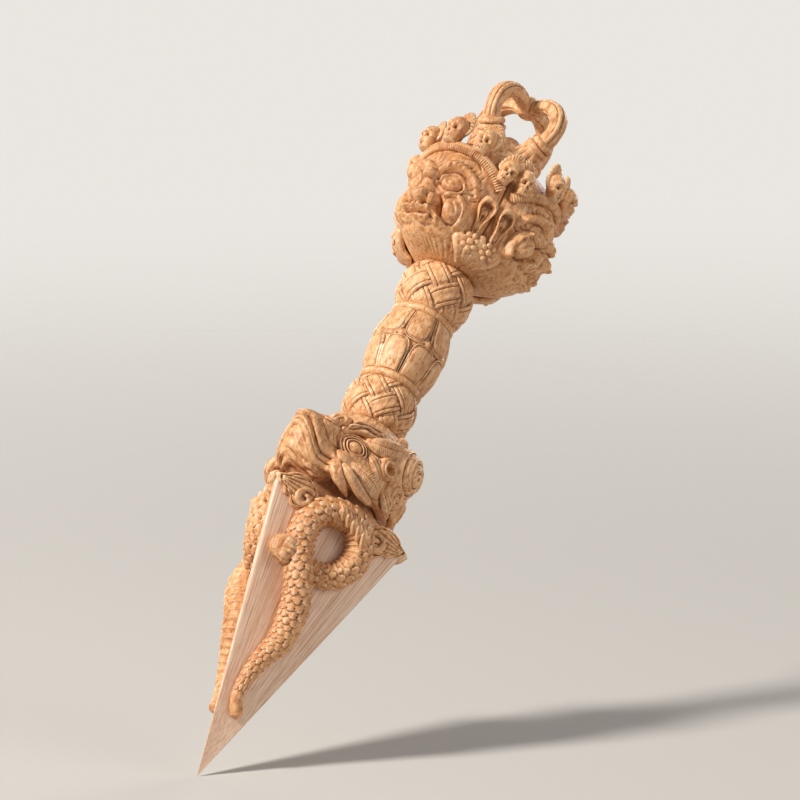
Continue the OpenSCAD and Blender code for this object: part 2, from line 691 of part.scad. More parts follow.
blade();
corner_leaves();
snake_front_right();
snake_back();
snake_front_left();
makara_head();
makara_lip();
makara_eyes();
makara_fangs();
makara_ears();
makara_mane();
lower_knot();
lower_collar();
lotus_barrel();
upper_collar();
upper_knot();
head_front();
head_right();
head_left();
ears();
earrings();
hair_locks();
crown_front();
crown_right();
crown_left();
finial_hub();
prong_front();
prong_right();
prong_back();
prong_left();
finial_button();
dowel();
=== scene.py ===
import math

import bmesh
import bpy
import numpy as np
from mathutils import Matrix, Vector


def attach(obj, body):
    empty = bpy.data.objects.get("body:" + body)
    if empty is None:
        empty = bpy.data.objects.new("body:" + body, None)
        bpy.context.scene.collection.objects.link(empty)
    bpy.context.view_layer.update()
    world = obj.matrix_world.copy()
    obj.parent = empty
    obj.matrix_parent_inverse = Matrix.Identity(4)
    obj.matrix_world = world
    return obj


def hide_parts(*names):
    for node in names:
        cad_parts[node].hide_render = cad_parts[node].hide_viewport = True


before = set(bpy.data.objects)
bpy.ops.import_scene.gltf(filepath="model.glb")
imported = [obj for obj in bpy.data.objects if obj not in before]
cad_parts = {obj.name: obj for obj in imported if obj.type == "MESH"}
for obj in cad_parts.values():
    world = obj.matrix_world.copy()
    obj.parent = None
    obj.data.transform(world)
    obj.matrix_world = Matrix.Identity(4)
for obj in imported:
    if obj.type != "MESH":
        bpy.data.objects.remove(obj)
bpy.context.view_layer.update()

# Camera: where the photograph was taken from, in the row's frame
print("camera")
photo = {
    "azimuth": 44, "elevation": -24, "roll": 26.35,  # degrees; azimuth 0 is the front, towards -Y
    "distance": 1.6, "lens": 329.7,
    "aim": 0.0996, "aside": 0.00317,  # metres up the axis, and to the right of it
    "tilt": 8,  # how far the photographer looked down on the table
}


def cameraAxes():  # right, up and back of the camera
    turn, lift, roll = (math.radians(photo[k]) for k in ("azimuth", "elevation", "roll"))
    back = np.array([math.sin(turn) * math.cos(lift), -math.cos(turn) * math.cos(lift), math.sin(lift)])
    side = np.array([math.cos(turn), math.sin(turn), 0])
    rise = np.cross(back, side)
    return (math.cos(roll) * side + math.sin(roll) * rise, math.cos(roll) * rise - math.sin(roll) * side,
            back)


right, up, back = cameraAxes()
sideways = np.array([math.cos(math.radians(photo["azimuth"])), math.sin(math.radians(photo["azimuth"])), 0])
aim = np.array([0, 0, photo["aim"]]) + photo["aside"] * sideways


def facing(axes, place):  # a world matrix with these axes at a place
    return Matrix([[axes[0][i], axes[1][i], axes[2][i], place[i]] for i in range(3)] + [[0, 0, 0, 1]])


camera = bpy.data.objects.new("camera", bpy.data.cameras.new("camera"))
camera.data.lens = photo["lens"]
camera.data.clip_end = 20
camera.matrix_world = facing((right, up, back), aim + photo["distance"] * back)
bpy.context.scene.collection.objects.link(camera)
bpy.context.scene.camera = camera

# Tools. Pieces are modelled in millimetres and scaled to metres when they are placed.
# In every dictionary below, a grid is how many columns and rows of faces a surface has
millimetre = 0.001


def around(azimuth, radius, height):  # points on the mantle of the peg
    a = np.radians(azimuth)
    return np.stack(np.broadcast_arrays(radius * np.sin(a), -radius * np.cos(a), height),
                    axis=-1).astype(float)


def hill(x, centre, width):  # 1 at the centre, smoothly 0 at a distance of width
    return np.clip(1 - ((x - centre) / width) ** 2, 0, None) ** 2


def ease(low, high, x):  # 0 below low, 1 above high
    t = np.clip((x - low) / (high - low), 0, 1)
    return t * t * (3 - 2 * t)


def mix(a, b, t):
    return a + (b - a) * t


def saw(x):  # distance from the middle of each whole step, 0 to 1
    return np.abs(x - np.floor(x) - 0.5) * 2


def crest(x, centre, width):  # 1 at the centre, with soft flanks
    return np.exp(-((x - centre) / width) ** 2)


def root(x):  # a square root that stays 0 below 0
    return np.sqrt(np.clip(x, 0, None))


def readPoints(mesh, what="co"):
    flat = np.empty(len(mesh.vertices) * 3, np.float32)
    mesh.vertices.foreach_get(what, flat)
    return flat.reshape(-1, 3).astype(float)


def writePoints(mesh, points):
    mesh.vertices.foreach_set("co", points.astype(np.float32).ravel())
    mesh.update()


def weld(mesh, gap=1e-4):  # seams and poles become one, and all faces look outwards
    body = bmesh.new()
    body.from_mesh(mesh)
    bmesh.ops.remove_doubles(body, verts=body.verts, dist=gap)
    bmesh.ops.dissolve_degenerate(body, edges=body.edges, dist=gap)
    bmesh.ops.recalc_face_normals(body, faces=body.faces)
    body.to_mesh(mesh)
    body.free()
    return mesh


def wrap(columns, rows, place):  # a sheet of quads laid where place(u, v) says
    sheet = bmesh.new()
    bmesh.ops.create_grid(sheet, x_segments=columns, y_segments=rows, size=0.5)
    mesh = bpy.data.meshes.new("wrap")
    sheet.to_mesh(mesh)
    sheet.free()
    flat = readPoints(mesh)
    writePoints(mesh, place(flat[:, 0] + 0.5, flat[:, 1] + 0.5))
    return weld(mesh)


def lathe(grid, low, high, radius, caps=0.06):  # a turned block
    def place(u, v):
        t = np.clip((v - caps) / (1 - 2 * caps), 0, 1)
        close = np.clip(np.minimum(v, 1 - v) / caps, 0, 1)
        azimuth, height = u * 360, mix(low, high, t)
        return around(azimuth, radius(azimuth, height) * close, height)
    return wrap(*grid, place)


def smoothPath(marks, count):  # a curve through the marks, evenly spaced along its length
    marks = np.array(marks, float)
    padded = np.vstack([2 * marks[0] - marks[1], marks, 2 * marks[-1] - marks[-2]])
    fine = []
    for i in range(len(marks) - 1):
        a, b, c, d = padded[i:i + 4]
        for u in np.linspace(0, 1, 24, endpoint=False):
            fine.append(0.5 * (2 * b + (c - a) * u + (2 * a - 5 * b + 4 * c - d) * u * u
                               + (3 * b - a - 3 * c + d) * u ** 3))
    fine = np.array(fine + [marks[-1]])
    run = np.concatenate([[0], np.cumsum(np.linalg.norm(np.diff(fine, axis=0), axis=1))])
    wanted = np.linspace(0, run[-1], count)
    return np.stack([np.interp(wanted, run, fine[:, k]) for k in range(fine.shape[1])], axis=1), run[-1]


def strand(path, radii, facingUp, sides=16, shape=None):  # a tube along a path; shape(angle, share) swells it
    path = np.array(path, float)
    count = len(path)
    along = np.gradient(path, axis=0)
    along /= np.linalg.norm(along, axis=1)[:, None]
    upward = np.broadcast_to(np.array(facingUp, float), path.shape)
    across = np.cross(along, upward)
    across /= np.linalg.norm(across, axis=1)[:, None]
    outward = np.cross(across, along)

    def place(u, v):
        i = np.clip(np.rint(v * (count - 1)).astype(int), 0, count - 1)
        angle = u * 2 * math.pi
        size = radii[i] * (1 if shape is None else shape(angle, v))
        return path[i] + size[:, None] * (np.cos(angle)[:, None] * outward[i]
                                          + np.sin(angle)[:, None] * across[i])
    return wrap(sides, count - 1, place)


outwards = (0, -1, 0)


def turned(degrees, axis):
    return Matrix.Rotation(math.radians(degrees), 4, axis)


def onMantle(azimuth, radius, height):
    return turned(azimuth, "Z") @ Matrix.Translation((0, -radius, height))


def placed(mesh, *matrices):
    for matrix in matrices:
        mesh.transform(matrix)
        if matrix.determinant() < 0:
            mesh.flip_normals()
    return mesh


def ball(place, size, detail=3):  # an ellipsoid
    body = bmesh.new()
    spot = Matrix.Translation(place) @ Matrix.Diagonal((*size, 1))
    bmesh.ops.create_icosphere(body, subdivisions=detail, radius=1, matrix=spot)
    mesh = bpy.data.meshes.new("ball")
    body.to_mesh(mesh)
    body.free()
    return mesh


def cord(marks, widths, facingUp, count=60, sides=14, flat=1.0, blunt=0.08, shape=None):  # a tapered strand
    path, length = smoothPath(marks, count)
    share = np.linspace(0, 1, count)
    facingUp = path * (1, 1, 0) if facingUp is None else facingUp
    width = np.interp(share, np.linspace(0, 1, len(widths)), widths)
    end = np.clip(np.minimum(share, 1 - share) / blunt, 0, 1)
    close = np.sqrt(end * (2 - end))

    def squash(angle, v):
        body = np.hypot(np.sin(angle), flat * np.cos(angle))
        return body * (1 if shape is None else shape(angle, v))
    return strand(path, width * close, facingUp, sides, squash)


def ring(marks):  # an outline for plate: a smooth closed line through marks that go round the origin
    rim = smoothPath([(*mark, 0) for mark in marks + marks[:1]], 200)[0][:, :2]
    turns = np.unwrap(np.arctan2(rim[:, 1], rim[:, 0]))
    order = np.argsort(turns)

    def outline(angle):
        wanted = (angle - turns.min()) % (2 * math.pi) + turns.min()
        return np.interp(wanted, turns[order], rim[order, 0]), np.interp(wanted, turns[order], rim[order, 1])
    return outline


def bowed(depth):  # the plain back of a plate, for its rear
    return lambda angle, share: depth * np.sqrt(1 - share ** 4)


def plate(outline, front, rear, columns,
          rows):  # a carved plate seen along Y; its face and back are functions
    def place(u, v):
        angle = u * 2 * math.pi
        share = np.clip(1 - np.abs(v * 2 - 1), 0, 1) ** 0.75
        x, z = outline(angle)
        rise = np.where(v < 0.5, -front(angle, share), rear(angle, share))
        return np.stack([x * share, rise, z * share], axis=1)
    return wrap(columns, rows * 2, place)


def nearPath(x, y, marks):  # distance to a line of marks, and how far along it the nearest place is
    best, along = np.full_like(x, 1e9), np.zeros_like(x)
    marks = np.array(marks, float)
    runs = np.linalg.norm(np.diff(marks, axis=0), axis=1)
    start, total = 0, runs.sum()
    for (ax, ay), (bx, by), run in zip(marks[:-1], marks[1:], runs):
        t = np.clip(((x - ax) * (bx - ax) + (y - ay) * (by - ay)) / run ** 2, 0, 1)
        gap = np.hypot(x - ax - t * (bx - ax), y - ay - t * (by - ay))
        closer = gap < best
        best, along = np.where(closer, gap, best), np.where(closer, (start + t * run) / total, along)
        start += run
    return best, along


def bend(*marks, count=18):  # a smooth line through a few marks
    return smoothPath([(*mark, 0) for mark in marks], count)[0][:, :2]


class Relief:  # a skin over the places x, y, raised and lowered stroke by stroke
    def __init__(self, x, y, skin):
        self.x, self.y, self.skin = x, y, skin

    def lump(self, place, size, height, turn=0):  # a rounded swelling with a crisp foot
        c, s = math.cos(math.radians(turn)), math.sin(math.radians(turn))
        dx, dy = self.x - place[0], self.y - place[1]
        inside = 1 - ((dx * c + dy * s) / size[0]) ** 2 - ((dy * c - dx * s) / size[1]) ** 2
        self.skin = self.skin + height * root(inside)

    def peg(self, place, size, height):  # a tooth that ends at a height of its own, whatever it stands on
        dx, dy = np.abs((self.x - place[0]) / size[0]), np.abs((self.y - place[1]) / size[1])
        inside = 1 - dx ** 2.5 - dy ** 2.5
        tooth = np.maximum(self.skin, height * np.clip(inside, 0, None) ** 0.4)
        self.skin = np.where(inside > 0, tooth, self.skin)

    def roll(self, marks, widths, height):  # a rounded strand that tapers between its two widths
        gap, along = nearPath(self.x, self.y, marks)
        width = mix(widths[0], widths[1], along)
        self.skin = self.skin + height * (width / max(widths)) * root(1 - (gap / width) ** 2)

    def cut(self, marks, width, depth):  # a groove that runs out at both ends
        gap, along = nearPath(self.x, self.y, marks)
        self.skin = self.skin - depth * crest(gap, 0, width) * np.clip(4 * along * (1 - along) + 0.35, 0, 1)


def spiral(place, radius, turns, start, hand=1):  # marks of a curl, from its rim to its middle
    t = np.linspace(0, 1, 26)
    angle = math.radians(start) + hand * t * turns * 2 * math.pi
    reach = radius * (1 - 0.82 * t)
    return np.stack([place[0] + reach * np.cos(angle), place[1] + reach * np.sin(angle)], axis=1)


def joined(meshes):  # several meshes as one
    body = bmesh.new()
    for mesh in meshes:
        body.from_mesh(mesh)
        bpy.data.meshes.remove(mesh)
    result = bpy.data.meshes.new("joined")
    body.to_mesh(result)
    body.free()
    return result


def softened(mesh, passes):  # takes the hard edge off what the knife would have rounded
    body = bmesh.new()
    body.from_mesh(mesh)
    for step in range(passes):
        bmesh.ops.smooth_vert(body, verts=body.verts, factor=0.5, use_axis_x=True, use_axis_y=True,
                              use_axis_z=True)
    body.to_mesh(mesh)
    body.free()
    return mesh


def carved(flat, lines, hatch=0, depth=0.32):  # section of a leaf or lock: lines along it, strokes across it
    def shape(turn, v):
        body = (np.abs(np.cos(turn) / flat) ** 2.6 + np.abs(np.sin(turn)) ** 2.6) ** (-1 / 2.6)
        across = body * np.sin(turn)
        groove = saw((across + 1) / 2 * lines) ** 3
        strokes = saw(v * hatch - np.abs(across) * 1.2) ** 3 * 0.8 if hatch else 0
        return body * (1 - depth * ease(0, 0.3, np.cos(turn)) * ease(0, 0.1, v) * np.maximum(groove, strokes))
    return shape


def markHollows(mesh):  # writes how far each point stands out of its surroundings, close by and further off
    points, normals = readPoints(mesh), readPoints(mesh, "normal")
    pairs = np.empty(len(mesh.edges) * 2, np.int32)
    mesh.edges.foreach_get("vertices", pairs)
    a, b = pairs.reshape(-1, 2).T
    size = len(points)
    degree = np.maximum(np.bincount(a, minlength=size) + np.bincount(b, minlength=size), 1)
    soft = points.copy()
    done = 0
    for name, steps in (("fine", 6), ("wide", 40)):
        for step in range(steps - done):
            total = [np.bincount(a, soft[b, k], size) + np.bincount(b, soft[a, k], size) for k in range(3)]
            soft = 0.5 * soft + 0.5 * np.stack(total, axis=1) / degree[:, None]
        done = steps
        stand = np.einsum("ij,ij->i", points - soft, normals)
        mesh.attributes.new(name, "FLOAT", "POINT").data.foreach_set("value", stand.astype(np.float32))


def piece(name, meshes, node, material):  # places a finished piece in the frame, in metres
    mesh = joined(meshes)
    mesh.name = name
    markHollows(mesh)
    mesh.transform(Matrix.Scale(millimetre, 4))
    for polygon in mesh.polygons:
        polygon.use_smooth = True
    mesh.materials.append(material)
    thing = bpy.data.objects.new(name, mesh)
    bpy.context.scene.collection.objects.link(thing)
    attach(thing, "root")
    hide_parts(node)
    print(" ", name, len(mesh.vertices), "points")


# Materials: one pale, fine-grained wood in a few tones
print("materials")


def wire(tree, kind, **inputs):  # a node whose inputs are numbers or links; names with _ stand for spaces
    made = tree.nodes.new(kind)
    for name, value in inputs.items():
        key = name.replace("_", " ")
        if hasattr(made, name) and key not in made.inputs:
            setattr(made, name, value)
            continue
        socket = made.inputs[int(name[1:])] if name[0] == "n" and name[1:].isdigit() else made.inputs[key]
        if isinstance(value, bpy.types.NodeSocket):
            tree.links.new(value, socket)
        else:
            socket.default_value = value
    return made


def noise(tree, source, scale, detail=3, roughness=0.55):  # a pattern, finer by one factor along each axis
    finer = wire(tree, "ShaderNodeVectorMath", operation="MULTIPLY", n0=source, n1=scale).outputs[0]
    return wire(tree, "ShaderNodeTexNoise", Vector=finer, Scale=1, Detail=detail,
                Roughness=roughness).outputs[0]


def span(tree, value, low, high, first=0, last=1):  # maps low..high smoothly onto first..last
    ends = {"n0": value, "n1": low, "n2": high, "n3": first, "n4": last}
    return wire(tree, "ShaderNodeMapRange", interpolation_type="SMOOTHSTEP", **ends).outputs[0]


def blend(tree, kind, amount, first, second):
    made = tree.nodes.new("ShaderNodeMix")
    made.data_type = "RGBA"
    made.blend_type = kind
    for socket, value in ((made.inputs[0], amount), (made.inputs[6], first), (made.inputs[7], second)):
        if isinstance(value, bpy.types.NodeSocket):
            tree.links.new(value, socket)
        else:
            socket.default_value = value
    return made.outputs[2]


def math2(tree, kind, a, b):
    return wire(tree, "ShaderNodeMath", operation=kind, n0=a, n1=b).outputs[0]


def times(tree, a, b):
    return math2(tree, "MULTIPLY", a, b)


def startGroup(name, inputs, outputs):  # a node group whose sockets are named with their kinds
    tree = bpy.data.node_groups.new(name, "ShaderNodeTree")
    for side, sockets in (("INPUT", inputs), ("OUTPUT", outputs)):
        for label, kind in sockets.items():
            tree.interface.new_socket(label, in_out=side, socket_type="NodeSocket" + kind)
    return tree, tree.nodes.new("NodeGroupInput"), tree.nodes.new("NodeGroupOutput")


def grainGroup():  # long grain of the wood and small marks of the knife: their colour and their height
    tree, given, result = startGroup(
        "woodGrain", {"Light": "Color", "Dark": "Color", "Strength": "Float", "Taper": "Float",
                      "Knife": "Float"},
        {"Color": "Color", "Height": "Float"})
    plain = tree.nodes.new("ShaderNodeTexCoord").outputs["Object"]
    parts = wire(tree, "ShaderNodeSeparateXYZ", Vector=plain).outputs
    closer = math2(tree, "DIVIDE", 0.055,
                   math2(tree, "ADD", parts["Z"], 0.006))  # lines that run to the point
    closer = math2(tree, "ADD", times(tree, math2(tree, "SUBTRACT", closer, 1), given.outputs["Taper"]), 1)
    place = wire(tree, "ShaderNodeCombineXYZ", X=times(tree, parts["X"], closer),
                 Y=times(tree, parts["Y"], closer), Z=parts["Z"]).outputs[0]
    drift = noise(tree, place, (70, 70, 9))
    streaks = noise(tree, place, (1900, 1900, 16), 2, 0.5)
    fibres = noise(tree, place, (4200, 4200, 32), 2, 0.5)
    pores = noise(tree, place, (5600, 5600, 90), 1, 0.5)
    facets = noise(tree, plain, (950, 950, 620), 3, 0.62)
    tone = blend(tree, "MIX", span(tree, drift, 0.32, 0.68), given.outputs["Light"], given.outputs["Dark"])
    for pattern, low, high, kind, most, colour, driver in (
        (streaks, 0.42, 0.72, "MULTIPLY", 1, (0.82, 0.66, 0.54, 1), "Strength"),
        (streaks, 0.5, 0.28, "SCREEN", 0.4, (0.36, 0.26, 0.18, 1), "Strength"),
        (fibres, 0.48, 0.72, "MULTIPLY", 0.7, (0.6, 0.44, 0.34, 1), "Strength"),
        (pores, 0.64, 0.72, "MULTIPLY", 0.6, (0.45, 0.28, 0.2, 1), "Strength"),
        (facets, 0.5, 0.66, "MULTIPLY", 0.75, (0.62, 0.43, 0.3, 1), "Knife"),
        (facets, 0.46, 0.34, "SCREEN", 0.35, (0.42, 0.34, 0.24, 1), "Knife"),
    ):
        amount = times(tree, span(tree, pattern, low, high, 0, most), given.outputs[driver])
        tone = blend(tree, kind, amount, tone, colour)
    dips = times(tree, span(tree, pores, 0.64, 0.72, 0, 0.5), given.outputs["Strength"])
    height = math2(tree, "SUBTRACT", times(tree, fibres, 0.6), dips)
    height = math2(tree, "SUBTRACT", height, times(tree, times(tree, facets, 3), given.outputs["Knife"]))
    tree.links.new(tone, result.inputs["Color"])
    tree.links.new(height, result.inputs["Height"])
    return tree


def waxAndShadeGroup():  # dark wax and painted shade in the hollows, and pale rubbed edges with painted highlights, from what each point stands out by
    tree, given, result = startGroup(
        "waxAndShade", {"Color": "Color", "Deep": "Color", "Worn": "Color"}, {"Color": "Color", "Gloss": "Float"})
    fine = wire(tree, "ShaderNodeAttribute", attribute_name="fine").outputs["Fac"]
    wide = wire(tree, "ShaderNodeAttribute", attribute_name="wide").outputs["Fac"]
    place = tree.nodes.new("ShaderNodeTexCoord").outputs["Object"]
    uneven = span(tree, noise(tree, place, (420, 420, 420)), 0.3, 0.7, 0.55, 1)
    # painted shade: darker in hollows, creases and between parts, partly real wax in the recesses
    deep = math2(tree, "MAXIMUM", span(tree, fine, -0.005, -0.065), span(tree, wide, -0.02, -0.42))
    # painted highlight: paler on edges that stand out, partly real rubbed wear
    wearAndHighlight = math2(tree, "MAXIMUM", span(tree, fine, 0.03, 0.2), span(tree, wide, 0.3, 1.5))
    deep, wearAndHighlight = times(tree, deep, uneven), times(tree, wearAndHighlight, uneven)
    tone = blend(tree, "MIX", times(tree, wearAndHighlight, 0.55), given.outputs["Color"], given.outputs["Worn"])
    tree.links.new(blend(tree, "MULTIPLY", deep, tone, given.outputs["Deep"]), result.inputs["Color"])
    tree.links.new(math2(tree, "SUBTRACT", wearAndHighlight, deep), result.inputs["Gloss"])
    return tree


grain, waxAndShade = grainGroup(), waxAndShadeGroup()


def wood(name, light, dark, strength, bump=0.25, shoulder=None, knife=0.15):
    material = bpy.data.materials.new(name)
    material.use_nodes = True
    tree = material.node_tree
    shader = next(n for n in tree.nodes if n.type == "BSDF_PRINCIPLED")
    base = wire(tree, "ShaderNodeGroup", node_tree=grain, Light=(*light, 1), Dark=(*dark, 1),
                Strength=strength,
                Taper=1 if shoulder else 0, Knife=knife)
    tone = base.outputs["Color"]
    if shoulder:  # painted shade: the wood turns darker above a height, where the monster's jaw shades the blade's shoulder
        place = tree.nodes.new("ShaderNodeTexCoord").outputs["Object"]
        height = wire(tree, "ShaderNodeSeparateXYZ", Vector=place).outputs["Z"]
        shadeAbove = span(tree, height, shoulder, shoulder + 0.003)
        tone = blend(tree, "MULTIPLY", shadeAbove, tone, (0.78, 0.6, 0.42, 1))
    # the wood's colour with wax and painted shade in its hollows, and wear and painted highlights on its edges
    agedAndShaded = wire(tree, "ShaderNodeGroup", node_tree=waxAndShade, Color=tone, Deep=(0.3, 0.155, 0.08, 1),
                Worn=(0.95, 0.72, 0.48, 1))
    tree.links.new(agedAndShaded.outputs["Color"], shader.inputs["Base Color"])
    tree.links.new(span(tree, agedAndShaded.outputs["Gloss"], -0.8, 0.8, 0.58, 0.32), shader.inputs["Roughness"])
    relief = wire(tree, "ShaderNodeBump", Height=base.outputs["Height"], Strength=bump, Distance=0.0001)
    tree.links.new(relief.outputs[0], shader.inputs["Normal"])
    shader.inputs["Specular IOR Level"].default_value = 0.45
    return material


# the blade's wood, with painted shade on its shoulder above 64.5 mm
blonde = wood("blondeWood", (0.82, 0.6, 0.45), (0.73, 0.5, 0.36), 0.95, 0.4, shoulder=0.0645)
honey = wood("honeyWood", (0.82, 0.49, 0.245), (0.64, 0.335, 0.145), 0.85, 0.8, knife=1)
amber = wood("amberWood", (0.79, 0.45, 0.21), (0.6, 0.29, 0.115), 0.8, 0.8, knife=1)
dowelWood = wood("dowelWood", (0.6, 0.36, 0.2), (0.48, 0.26, 0.14), 1)

# Blade
print("blade")
blade = {"length": 65, "corner": 19.2, "ridge": 1.2, "shoulder": 10, "neck": 7.6, "grid": (168, 170)}
blade["flat"] = blade["corner"] / 2 + blade["ridge"] * math.sin(math.radians(60)) / 2
blade["lean"] = math.atan(blade["flat"] / blade["length"])
blade["half"] = blade["corner"] * math.sin(math.radians(60)) - blade["ridge"] / 4
blade["face"] = blade["length"] / math.cos(blade["lean"])
faceAzimuths = (60, 180, 300)
headAzimuths = (0, 120, 240)


def bladeRadius(azimuth, height):  # a three-sided section with narrow flats along its ridges
    t = np.clip((height - blade["length"]) / blade["shoulder"], 0, 1)
    below, swell, hollow = height < blade["length"], height / blade["length"], (1 - t) ** 2.2
    corner = np.where(below, blade["corner"] * swell, mix(blade["neck"], blade["corner"], hollow))
    flat = np.where(below, blade["flat"] * swell, mix(blade["neck"] * 0.94, blade["flat"], hollow))
    sharp = mix(60, 14, t)
    total = 0
    for ridge, side in zip(headAzimuths, faceAzimuths):
        for turn, reach in ((ridge, corner), (side, flat)):
            facingIt = np.clip(np.cos(np.radians(azimuth - turn)), 0.01, 1)
            total = total + (facingIt / np.maximum(reach, 1e-3)) ** sharp
    return total ** (-1 / sharp)


def bladeMesh():
    top = blade["length"] + blade["shoulder"]

    def place(u, v):
        turn = u * 360
        azimuth = turn - 17 * np.sin(np.radians(turn * 3))  # columns gather at the ridges
        height = top * np.clip(v / 0.97, 0, 1)
        close = np.where(v > 0.97, (1 - v) / 0.03, 1)
        return around(azimuth, bladeRadius(azimuth, np.maximum(height, 1e-3)) * close * (height > 0), height)
    return wrap(*blade["grid"], place)


piece("bladeBody", [bladeMesh()], "blade", blonde)

# Snakes: one on each face, in the frame of the face: X across it, Y up it from the point, Z out of it
print("snakes")
snake = {
    "radius": 3.6, "tail": 1.35, "lift": 0.35, "rise": 1.6, "grid": (56, 520),
    "route": [
        (9, 23), (-5, 29), (-6, 37), (0, 45), (9, 53), (6, 61), (-5, 69), (-21, 77), (-33, 84),
        (-36, 91), (-26, 96.5), (-6, 99), (18, 99), (37, 95), (44, 88.5), (34, 82), (12, 78.5), (-16, 78)
    ],  # hundredths of the face's half width and length
    "neck": 78,  # how high the necks end, in the same hundredths
    # How far across each neck ends, and how far its head is lifted
    "ends": {"snake_front_right": (-40, 0), "snake_back": (-24, 0.2), "snake_front_left": (-37, 0)},
    "pitch": 1.65, "columns": 10,  # size of a scale and how many lie side by side
}


def acrossFace(x, y, z=0):  # hundredths of the face's half width and length become millimetres
    return x * blade["half"] / 100, y * blade["face"] / 100, z


def onFace(azimuth):  # from a face's own frame to the row's
    return turned(azimuth, "Z") @ Matrix.Rotation(math.pi / 2 + blade["lean"], 4, "X")


def shingle(along, across):  # rounded scales, each over the one behind it; both in scales
    height = np.zeros_like(along)
    for step in (0, 1, 2):
        row = np.floor(along) + step
        shift = np.where(row % 2 == 0, 0, 0.5)
        ahead = (row - along) / 1.4  # 0 at the root, 1 at the free edge
        beside = (across - np.round(across - shift) - shift) / 0.62
        inside = (ahead >= 0) & (ahead ** 2 + beside ** 2 < 1)
        height = np.where(inside, 0.25 + 0.75 * ahead - 0.45 * beside ** 2, height)
    return height


def snakeMesh(end):
    marks = [acrossFace(x, y) for x, y in snake["route"] + [(end, snake["neck"])]]
    path, length = smoothPath(marks, snake["grid"][1])
    share = np.linspace(0, 1, len(path))
    radii = mix(snake["tail"], snake["radius"], ease(0, 0.34, share)) * (1 - 0.22 * ease(0.78, 0.98, share))
    path[:, 2] = snake["lift"] * radii + snake["rise"] * hill(share, 0.39, 0.13)
    radii = radii * np.sqrt(ease(0, 0.012, share) * ease(0, 0.01, 1 - share))

    def scales(angle, v):
        s = v * length / snake["pitch"]
        side = np.sin(angle)  # 1 towards the belly's side
        local = np.interp(v, share, radii)
        scale = shingle(s, angle / (2 * math.pi) * snake["columns"])
        belly = 0.75 * saw(s * 0.9) ** 2
        use = ease(0.25, 0.6, side)
        depth = 0.2 + 0.2 * local / snake["radius"]
        return 1 + (depth * mix(scale, belly, use) - depth) / np.maximum(local, 0.5) * ease(0.03, 0.08,
                                                                                            v) * 1.6
    return strand(path, radii, (0, 0, 1), snake["grid"][0], scales)


def snakeHeadMeshes(end, lift):  # a blunt head with brows, round eyes and a closed mouth
    neck = acrossFace(end, snake["neck"])

    def at(*marks):  # marks behind the nose, beside the middle line and over the face
        return [(neck[0] + 1.1 - back, neck[1] + 0.8 + beside, lift + over) for back, beside, over in marks]

    def jaws(turn, v):
        mouth = crest(np.abs(np.cos(turn)), 0.05, 0.12) * (np.abs(np.sin(turn)) > 0.5)
        return carved(0.82, 1, 0, 0)(turn, v) * (1 - 0.14 * mouth * ease(0.45, 0.6, v))
    nose = at((-2, 0, 1.3), (0, 0, 1.6), (2.2, 0.1, 1.7), (4.2, 0, 1.4), (5.8, -0.2, 1))
    meshes = [cord(nose, (2.5, 3.0, 3.3, 2.7, 1.7), (0, 0, 1), 80, 36, 1, 0.12, jaws)]
    for side in (1, -1):
        brow = at((0.2, side * 0.9, 4.1), (1.8, side * 0.55, 4.4), (3.6, side * 0.9, 3.9))
        lid = at((0.7, side * 2.7, 3.1), (2.3, side * 2.85, 3.3), (3.9, side * 2.35, 2.9))
        meshes.append(cord(brow, (0.35, 0.5, 0.35), (0, 0, 1), 30, 10))
        meshes.append(cord(lid, (0.25, 0.4, 0.25), (0, 0, 1), 30, 10))
        meshes.append(ball(*at((2.4, side * 1.7, 3.95)), (1.15, 1.0, 0.75)))
        meshes.append(ball(*at((5.2, side * 0.8, 2.3)), (0.45, 0.35, 0.3), detail=2))
    return meshes


def tuftMeshes():  # pointed locks that lie over the top of the loop
    meshes = []
    for k in range(5):
        x = 10 * k - 16
        marks = [(x, 101.5 - 0.5 * k, 4.1), (x + 8, 100 - 0.8 * k, 4.85), (x + 15, 96.5 - 1.2 * k, 4.3)]
        marks = [acrossFace(*mark) for mark in marks]
        meshes.append(cord(marks, (0.3, 1.0, 0.3), (0, 0, 1), 40, 16, 0.9, 0.1, carved(0.8, 2, 0, 0.2)))
    return meshes


for azimuth, (name, (end, lift)) in zip(faceAzimuths, snake["ends"].items()):
    carvings = [snakeMesh(end)] + snakeHeadMeshes(end, lift) + tuftMeshes()
    piece(name.replace("snake", "serpent"), [placed(mesh, onFace(azimuth)) for mesh in carvings], name, amber)

# Leaves on the upper corners of each face, seen along Y with the corner of the face at the origin
print("leaves")
leaf = {
    "outline": [
        (1.0, 0.2), (-1.0, 1.1), (-3.0, 2.6), (-6.4, 2.9), (-9.6, 1.0), (-9.9, -1.8), (-7.9, -4.2),
        (-5.4, -4.5),
        (-3.9, -3.0), (-2.7, -3.0), (-1.5, -1.7), (-0.1, -1.3),
    ],
    "middle": (-5, -0.7), "thick": 1.7, "curl": (-7.0, -1.9), "curlRadius": 2.1, "grid": (96, 26),
}


